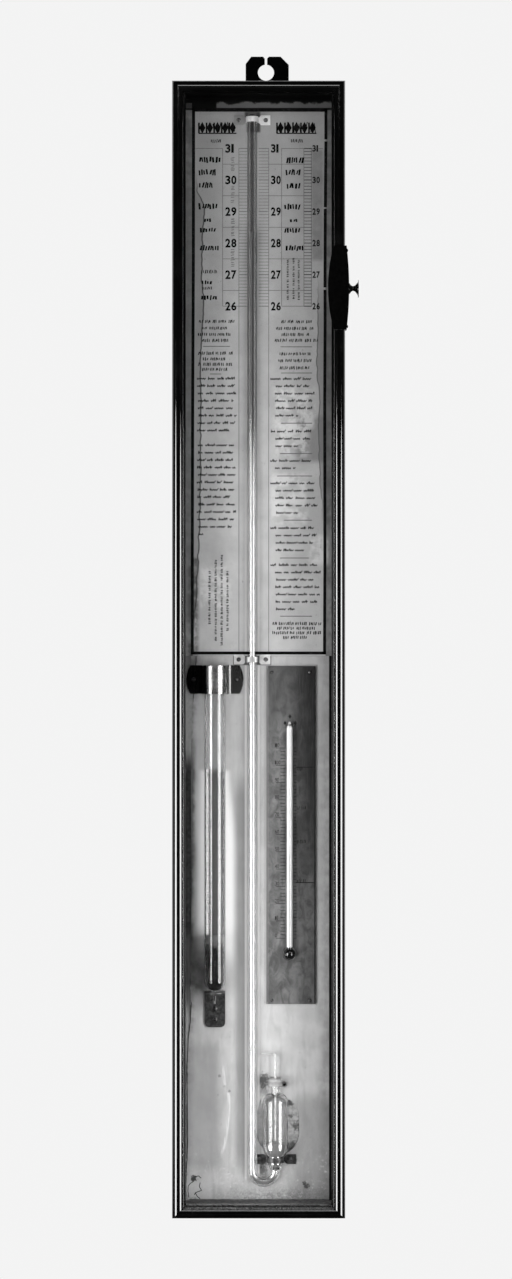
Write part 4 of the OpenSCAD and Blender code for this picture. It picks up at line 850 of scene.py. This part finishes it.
# Printing and engraving: flat marks a hair in front of what carries them
class Marks:
    """Thin flat marks on the plane Y = y, drawn in pixels of the photograph."""

    def __init__(self, name, y, material, slot, lift=0.00005):
        self.name = name
        self.y = y - lift
        self.material = material
        self.slot = slot
        self.bm = bmesh.new()

    def face(self, corners):
        points = [at_photo(x, y, self.y) for x, y in corners]
        area = sum(a.x * b.z - b.x * a.z for a, b in zip(points, points[1:] + points[:1]))
        if area < 0:
            points.reverse()
        self.bm.faces.new([self.bm.verts.new(p) for p in points])

    def bar(self, x0, y0, x1, y1):
        self.face([(x0, y0), (x1, y0), (x1, y1), (x0, y1)])

    def across(self, x0, x1, y, wide):
        self.bar(x0, y - wide / 2, x1, y + wide / 2)

    def down(self, x, y0, y1, wide):
        self.bar(x - wide / 2, y0, x + wide / 2, y1)

    def line(self, points, width):
        for (xa, ya), (xb, yb) in zip(points, points[1:]):
            n = math.hypot(xb - xa, yb - ya) or 1
            dx, dy = -(yb - ya) / n * width / 2, (xb - xa) / n * width / 2
            self.face([(xa + dx, ya + dy), (xb + dx, yb + dy), (xb - dx, yb - dy), (xa - dx, ya - dy)])

    def strokes(self, along, end, base, top, rng, turned=False, thick=1.2, gap=0.9):
        """Slanted strokes in place of a word, side by side or, where turned, one above another."""
        tall = top - base
        while along < end - thick * 0.6:
            near = base + tall * rng.uniform(0, 0.22)
            far = base + tall * (1 - rng.uniform(0, 0.22))
            lean = tall * rng.uniform(-0.12, 0.24)
            wide = thick * rng.uniform(0.8, 1.25)
            corners = [(along + lean, near), (along + lean + wide, near), (along + wide, far), (along, far)]
            self.face([(b, a) for a, b in corners] if turned else corners)
            along += wide + gap * rng.uniform(0.7, 1.3)

    def words(self, along, end, base, top, rng, turned=False, thick=0.8, gap=0.7):
        """A line of such words."""
        while along < end - 2:
            stop = min(end, along + rng.uniform(3, 9))
            self.strokes(along, stop, base, top, rng, turned, thick, gap)
            along = stop + 1.5

    def scribble(self, x0, x1, y, rng, width=0.85, tall=4.0):
        """A row of slanted zigzags, like a hand that can't be read."""
        a = x0
        while a < x1 - 2:
            end = min(x1, a + rng.uniform(5, 11))
            x, points, up = a, [], 1
            while x < end:
                h = tall * rng.choice((0.36, 0.44, 0.5, 0.95 if up > 0 else 0.44))
                points.append((x + (0.35 * h if up > 0 else 0), y - up * h * 0.5))
                x += rng.uniform(0.8, 1.2)
                up = -up
            if len(points) > 2:
                self.line(points, width)
            a = end + rng.uniform(1.3, 2.1)

    def digit(self, figure, x0, x1, y, tall, bold):
        """One figure drawn to fill a box."""
        curve = bpy.data.curves.new("figure", "FONT")
        curve.body = figure
        curve.offset = bold
        curve.resolution_u = 3
        made = add_object("figure", curve)
        mesh = bpy.data.meshes.new_from_object(made.evaluated_get(bpy.context.evaluated_depsgraph_get()))
        xs, ys = [v.co.x for v in mesh.vertices], [v.co.y for v in mesh.vertices]
        wide, high = max(xs) - min(xs), max(ys) - min(ys)
        place = {}
        for v in mesh.vertices:
            px = x0 + (v.co.x - min(xs)) / wide * (x1 - x0)
            py = y + tall / 2 - (v.co.y - min(ys)) / high * tall
            place[v.index] = self.bm.verts.new(at_photo(px, py, self.y))
        for p in mesh.polygons:
            corners = [place[i] for i in p.vertices]
            if len(set(corners)) > 2:
                face = self.bm.faces.new(corners)
                face.normal_update()
                if face.normal.y > 0:
                    face.normal_flip()
        bpy.data.objects.remove(made)
        bpy.data.curves.remove(curve)
        bpy.data.meshes.remove(mesh)

    def number(self, value, column, y, bold=0.035):
        """A whole number at the height y of a column, with a 1 half as wide as the other figures."""
        x, wide, tall = column
        for figure in str(value):
            own = wide * 0.5 if figure == "1" else wide
            self.digit(figure, x, x + own, y, tall, bold)
            x += own + wide * 0.14

    def done(self):
        mesh = bpy.data.meshes.new(self.name)
        self.bm.to_mesh(mesh)
        self.bm.free()
        mesh.materials.append(self.material)
        made = add_object(self.name, mesh)
        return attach(made, "case")


# The chart's printing, in pixels of the photograph: lines first, then rows as (x0, x1, y0, y1). A column of
# numbers is its left, the width of a figure and its height
BORDER_LEFT = ((193.6, 108.7), (193.4, 260), (192.7, 400), (192.3, 560), (192.3, 654.4))
BORDER_RIGHT = (
    ((325.9, 108.7), (325.9, 139.4)),
    ((325.9, 141.4), (325.4, 207.2)),
    ((325.3, 208.8), (325.0, 287.4)),
    ((325.0, 289.8), (325.1, 320), (324.7, 400), (324.9, 560), (324.5, 654.4)),
)
BORDER_ENDS = ((192.1, 327.4, 110.2), (190.8, 326.2, 653.0))
BORDER_WIDE, FINE_LINE = 3.0, 0.6
HIGHEST_INCH, INCHES = 31, 5
INCH_TOP, INCH_STEP = 148.4, 31.56
FIGURES_LEFT, FIGURES_RIGHT, FIGURES_SMALL = (225.3, 5.2, 8.8), (271.0, 4.6, 8.6), (312.4, 3.5, 6.6)
LADDERS = ((238.9, 247.8), (258.6, 268.6))
SMALL_LADDER = (304.2, 311.6)
UPRIGHTS = ((222.6, 306), (238.9, 652), (268.7, 652), (281.6, 306), (303.9, 306), (311.4, 306))
LEVELS = ((195, 222.6, 148.5), (281.6, 323, 148.5), (281.6, 311.4, 306.2), (222.6, 238.9, 306.2))
HALF_INCHES = ((268.7, 303.9), (222.6, 238.9))
HEADINGS = ((198.5, 236.5), (276.5, 316.5))
HEADING_TOP, HEADING_FOOT, HEADING_SIGNS = 121.8, 133.8, 5
UNDER_HEADINGS = ((210.8, 222, 138.8, 143), (291, 303, 138.8, 143))
BOLD_WORDS = (
    (199, 221.5, 156.5, 163), (199, 216.5, 169, 175.5), (199, 214, 182, 188.5), (198.8, 217, 203, 209.5),
    (204, 212, 218.4, 222), (200, 217, 227.6, 232.6), (199.6, 219.5, 245, 251), (202, 212, 280.4, 284.6),
    (201, 216.5, 295, 300.4), (286, 303.5, 157, 163.4), (286, 299.5, 169, 175.4), (287, 300, 182.6, 188.8),
    (284.5, 300, 203.6, 209.8), (290, 297, 218.8, 222.2), (284.2, 301, 227.8, 232.8),
    (285.6, 303, 245.2, 251),
)
LIGHT_WORDS = ((201, 217.5, 269.6, 273.6), (202, 213, 286.6, 290))
COLUMNS = ((286.6, 259.5, 300), (292.4, 258, 303), (297.6, 260, 303))
SCALE_WORDS_X = (230.6, 234.8)
SCALE_WORDS = ((157, 172), (186, 206), (218, 236), (249, 268))
SMALL_ROWS = (
    (198.6, 234, 321.4), (202.5, 228, 328.2), (198, 232.5, 334.4), (202, 228, 340.4), (198, 233.5, 353.2),
    (203, 228, 359), (198, 234, 364.2), (202, 229, 369.3), (281, 312, 321.6), (276, 316, 328.4),
    (281.5, 310, 334.5), (274.5, 317, 340.4), (279.5, 310, 353.8), (278.5, 310.5, 360.6),
    (279.5, 309.5, 367.8), (272.5, 322, 623.6), (277, 316, 628.2), (272.5, 322, 632.8), (283, 310, 637.4),
)
RULES = ((203, 230, 346.4), (210, 221, 374), (280.5, 312, 346.8), (281, 312, 373), (281, 312, 423.2),
         (280, 312, 453.6), (277, 312, 476), (284, 312, 520.2), (280, 309, 558), (280, 312, 616.2))
SCRIPT_LEFT, SCRIPT_TOP, SCRIPT_STEP = 196.4, 378.7, 7.41
SCRIPT_ENDS = (235, 234, 236, 233, 235, 236, 234, 232, None, 235, 234, 233, 236, 235, 234, 236, 233, 235,
               236, 234, 233, 206)
# How many rows, the first row's height, the step and the right end
SCRIPT_RIGHT = ((6, 379, 7.35, 316), (3, 431.6, 7.3, 313), (2, 461, 7.2, 319), (5, 483.4, 7.4, 318),
                (4, 528.2, 7.4, 318), (7, 565.2, 7.35, 321))
SCRIPT_INDENT, SCRIPT_MARGIN = 270, 274.5
FOOT_COLUMNS = ((208.2, 571, 628), (214.4, 560, 641), (220.4, 555, 645), (226.2, 571, 630))


def print_border(marks):
    for piece in (BORDER_LEFT, *BORDER_RIGHT):
        marks.line(piece, BORDER_WIDE)
    for x0, x1, y in BORDER_ENDS:
        marks.across(x0, x1, y, BORDER_WIDE)


def print_scales(black, small, fine):
    """Three ladders of tenths of an inch, their numbers and the thin lines round them."""
    for i in range(INCHES + 1):
        y = INCH_TOP + INCH_STEP * i
        black.number(HIGHEST_INCH - i, FIGURES_LEFT, y)
        black.number(HIGHEST_INCH - i, FIGURES_RIGHT, y)
        small.number(HIGHEST_INCH - i, FIGURES_SMALL, y)
    for i in range(INCHES * 10 + 1):
        y = INCH_TOP + INCH_STEP * i / 10
        wide = 0.8 if i % 10 == 0 else 0.5
        for x0, x1 in LADDERS:
            fine.across(x0, x1, y, wide)
        small.across(*SMALL_LADDER, y, wide)
    for x, foot in UPRIGHTS:
        fine.down(x, INCH_TOP, foot, FINE_LINE)
    for i in range(INCHES):
        for x0, x1 in HALF_INCHES:
            fine.across(x0, x1, INCH_TOP + INCH_STEP * (i + 0.5), FINE_LINE)
    for x0, x1, y in LEVELS:
        fine.across(x0, x1, y, FINE_LINE)


def print_headings(black, rng):
    """Two rows of heavy ornament in place of the headings."""
    middle = (HEADING_TOP + HEADING_FOOT) / 2
    for x0, x1 in HEADINGS:
        step = (x1 - x0) / HEADING_SIGNS
        for i in range(HEADING_SIGNS):
            x = x0 + step * (i + 0.5)
            black.face([(x - step * 0.42, middle), (x, HEADING_TOP), (x + step * 0.42, middle),
                        (x, HEADING_FOOT)])
            black.down(x - step * 0.44, HEADING_TOP + 0.8, HEADING_FOOT - 0.6, 1.7)
        black.strokes(x0, x1, HEADING_TOP, HEADING_FOOT, rng, False, 0.9, 4.2)
        black.across(x0, x1, HEADING_FOOT - 0.5, 1.2)


def print_rows(black, small, fine, rng):
    """Strokes in place of the winds and the small print."""
    for row in BOLD_WORDS:
        black.strokes(*row, rng, False, 1.7, 0.95)
    for row in LIGHT_WORDS + UNDER_HEADINGS:
        small.strokes(*row, rng, False, 0.9, 0.9)
    for x, y0, y1 in COLUMNS:
        small.words(y0, y1, x, x + 2.3, rng, True)
    for y0, y1 in SCALE_WORDS:
        fine.words(y0, y1, *SCALE_WORDS_X, rng, True, 0.8, 0.9)
    for x0, x1, y in SMALL_ROWS:
        small.words(x0, x1, y - 1.8, y + 1.8, rng, False, 0.95, 0.65)
    for x, y0, y1 in FOOT_COLUMNS:
        small.words(y0, y1, x, x + 2.6, rng, True, 0.9, 0.65)
    for x0, x1, y in RULES:
        fine.across(x0, x1, y, 0.9)


def print_script(small, rng):
    """Rows of zigzags in place of the remarks."""
    for i, end in enumerate(SCRIPT_ENDS):
        if end is not None:
            start = SCRIPT_LEFT + rng.uniform(0, 1.5)
            small.scribble(start, end, SCRIPT_TOP + SCRIPT_STEP * i, rng)
    for rows, y, step, end in SCRIPT_RIGHT:
        for i in range(rows):
            start = SCRIPT_INDENT if i == 0 else SCRIPT_MARGIN + rng.uniform(0, 1.2)
            short = rng.uniform(0, 5) if i < rows - 1 else rng.uniform(8, 26)
            small.scribble(start, end - short, y + step * i, rng, 0.8)


def print_chart():
    rng = random.Random(26)
    black = Marks("chart_black_print", PAPER, ink("black_ink", 0.003, 0.03), "chart paper")
    small = Marks("chart_small_print", PAPER, ink("grey_ink", 0.012, 0.06), "chart paper", 0.00004)
    fine = Marks("chart_fine_lines", PAPER, ink("faint_ink", 0.13, 0.24), "chart paper", 0.00003)
    print_border(black)
    print_scales(black, small, fine)
    print_headings(black, rng)
    print_rows(black, small, fine, rng)
    print_script(small, rng)
    for marks in (black, small, fine):
        marks.done()


# The thermometer plate's engraving, in pixels of the photograph: its words and lines by their heights,
# and its upright rules by their places across
DEGREES_TOP, DEGREES_FOOT, TENS = 748.0, 938.2, 11
LONG_TICK, SHORT_TICK, RIGHT_TICK = (276, 285.4), (280.5, 285.4), (293.6, 296.4)
DEGREES, DEGREES_LIFT = (275.0, 1.9, 3.8), 2.8
PLATE_LINES, PLATE_LINES_X = (767.2, 882.6), (296, 314.6)
PLATE_WORDS, PLATE_WORDS_X = (769, 808, 841.5, 881), (297, 306)
PLATE_DIAMONDS = ((290, 716.5), (285, 723), (295.4, 723))
PLATE_RULES, PLATE_RULES_Y = (267.2, 314.3), (668.5, 1002)


def engrave_plate():
    rng = random.Random(11)
    deep = Marks("thermometer_numbers", PLATE, ink("engraving_dark", 0.025, 0.07, 0.5), "engraved plate")
    step = (DEGREES_FOOT - DEGREES_TOP) / TENS
    for i in range(0, TENS * 10 + 1, 2):
        y = DEGREES_FOOT - i * step / 10
        deep.across(*(LONG_TICK if i % 10 == 0 else SHORT_TICK), y, 0.5)
        deep.across(*RIGHT_TICK, y, 0.4)
    for i in range(TENS + 1):
        deep.number(10 * i, DEGREES, DEGREES_FOOT - i * step - DEGREES_LIFT, 0.0)
    for y in PLATE_WORDS:
        deep.words(*PLATE_WORDS_X, y - 2.0, y + 2.0, rng, False, 0.7, 0.8)
    for y in PLATE_LINES:
        deep.across(*PLATE_LINES_X, y, 0.9)
    for x in PLATE_RULES:
        deep.down(x, *PLATE_RULES_Y, 0.4)
    for x, y in PLATE_DIAMONDS:
        deep.face([(x - 1.6, y), (x, y - 2.2), (x + 1.6, y), (x, y + 2.2)])
    deep.done()


def tie_cap():
    """Thread wound round the leather below its rim."""
    low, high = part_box("cistern_cap")
    centre = (low + high) / 2
    radius = (high.x - low.x) / 2 - 0.0003
    turns, steps, sides = 4, 40, 6
    thick, pitch, start = 0.00028, 0.00056, 0.0016
    bm = bmesh.new()
    rings = []
    for i in range(turns * steps + 1):
        a = 2 * math.pi * i / steps
        out = Vector((math.cos(a), math.sin(a), 0))
        z = low.z + start + pitch * i / steps
        mid = Vector((centre.x + math.cos(a) * radius, centre.y + math.sin(a) * radius, z))
        ring = []
        for k in range(sides):
            b = 2 * math.pi * k / sides
            up = Vector((0, 0, thick * math.sin(b)))
            ring.append(bm.verts.new(mid + out * (thick * math.cos(b)) + up))
        rings.append(ring)
    for ra, rb in zip(rings, rings[1:]):
        for k in range(sides):
            bm.faces.new((ra[k], ra[(k + 1) % sides], rb[(k + 1) % sides], rb[k]))
    bm.faces.new(list(reversed(rings[0])))
    bm.faces.new(rings[-1])
    bmesh.ops.recalc_face_normals(bm, faces=bm.faces)
    mesh = bpy.data.meshes.new("cap_thread")
    bm.to_mesh(mesh)
    bm.free()
    mesh.materials.append(waxed_thread())
    for p in mesh.polygons:
        p.use_smooth = True
    made = add_object("cap_thread", mesh)
    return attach(made, "case")


# Cracks round the flakes of the lining's lower left corner, and along its torn edge
CRACKS = (((200.2, 1182.5), (199.3, 1186.5), (201.6, 1190.4), (198.2, 1191.6), (195.3, 1192.8),
           (194.4, 1194.8)),
          ((195.3, 1192.8), (197.4, 1196.6), (200.2, 1198.6)),
          ((193.6, 1181.5), (190.5, 1183.2), (188.2, 1186), (187.9, 1191), (188.9, 1197.5)),
          ((195.2, 1177), (198.4, 1175.8), (201.2, 1178.2)),
          ((191.4, 1002), (190.4, 1020), (188.2, 1040), (187.0, 1066), (187.0, 1084), (187.6, 1112),
           (187.8, 1140), (187.2, 1158), (186.2, 1172)))
CRACK_WIDE = 0.75


def crack_lining():
    cracks = Marks("lining_cracks", LINING, ink("crack_soot", 0.012, 0.08), "lining paper", 0.00003)
    for points in CRACKS:
        cracks.line(points, CRACK_WIDE)
    cracks.done()


print_chart()
engrave_plate()
tie_cap()
crack_lining()


def build_floor():
    """A pale floor low under the hung case, that fades into the background and is dim when mirrored."""
    mesh = bpy.data.meshes.new("floor")
    r, z = FLOOR_REACH, cad_low.z - FLOOR_DROP
    mesh.from_pydata([(-r, -r, z), (r, -r, z), (r, r, z), (-r, r, z)], [], [(0, 1, 2, 3)])
    floor = add_object("floor", mesh)
    s = Shader("floor")
    cloud = s.noise(300, 2, 0.5)
    s.base = s.mix(s.ramp(cloud, 0.3, 0.7), 0.76, 0.79)
    s.finish(0.9, Specular_IOR_Level=0.1)
    out = s.math("SQRT", s.math("ADD", s.times(s.x, s.x), s.times(s.y, s.y)))
    path = s.node("ShaderNodeLightPath").outputs
    seen = s.math("MAXIMUM", path["Is Camera Ray"], path["Is Transmission Ray"])
    glow, dim = [s.node("ShaderNodeEmission", {"Color": level, "Strength": 1.0}).outputs[0]
                 for level in (BACKGROUND, FLOOR_MIRRORED)]
    faded = s.blend(s.times(seen, s.ramp(out, *FLOOR_FADE)), s.bsdf.outputs[0], glow)
    mesh.materials.append(s.surface(s.blend(path["Is Glossy Ray"], faded, dim)))


build_floor()

bpy.context.view_layer.update()
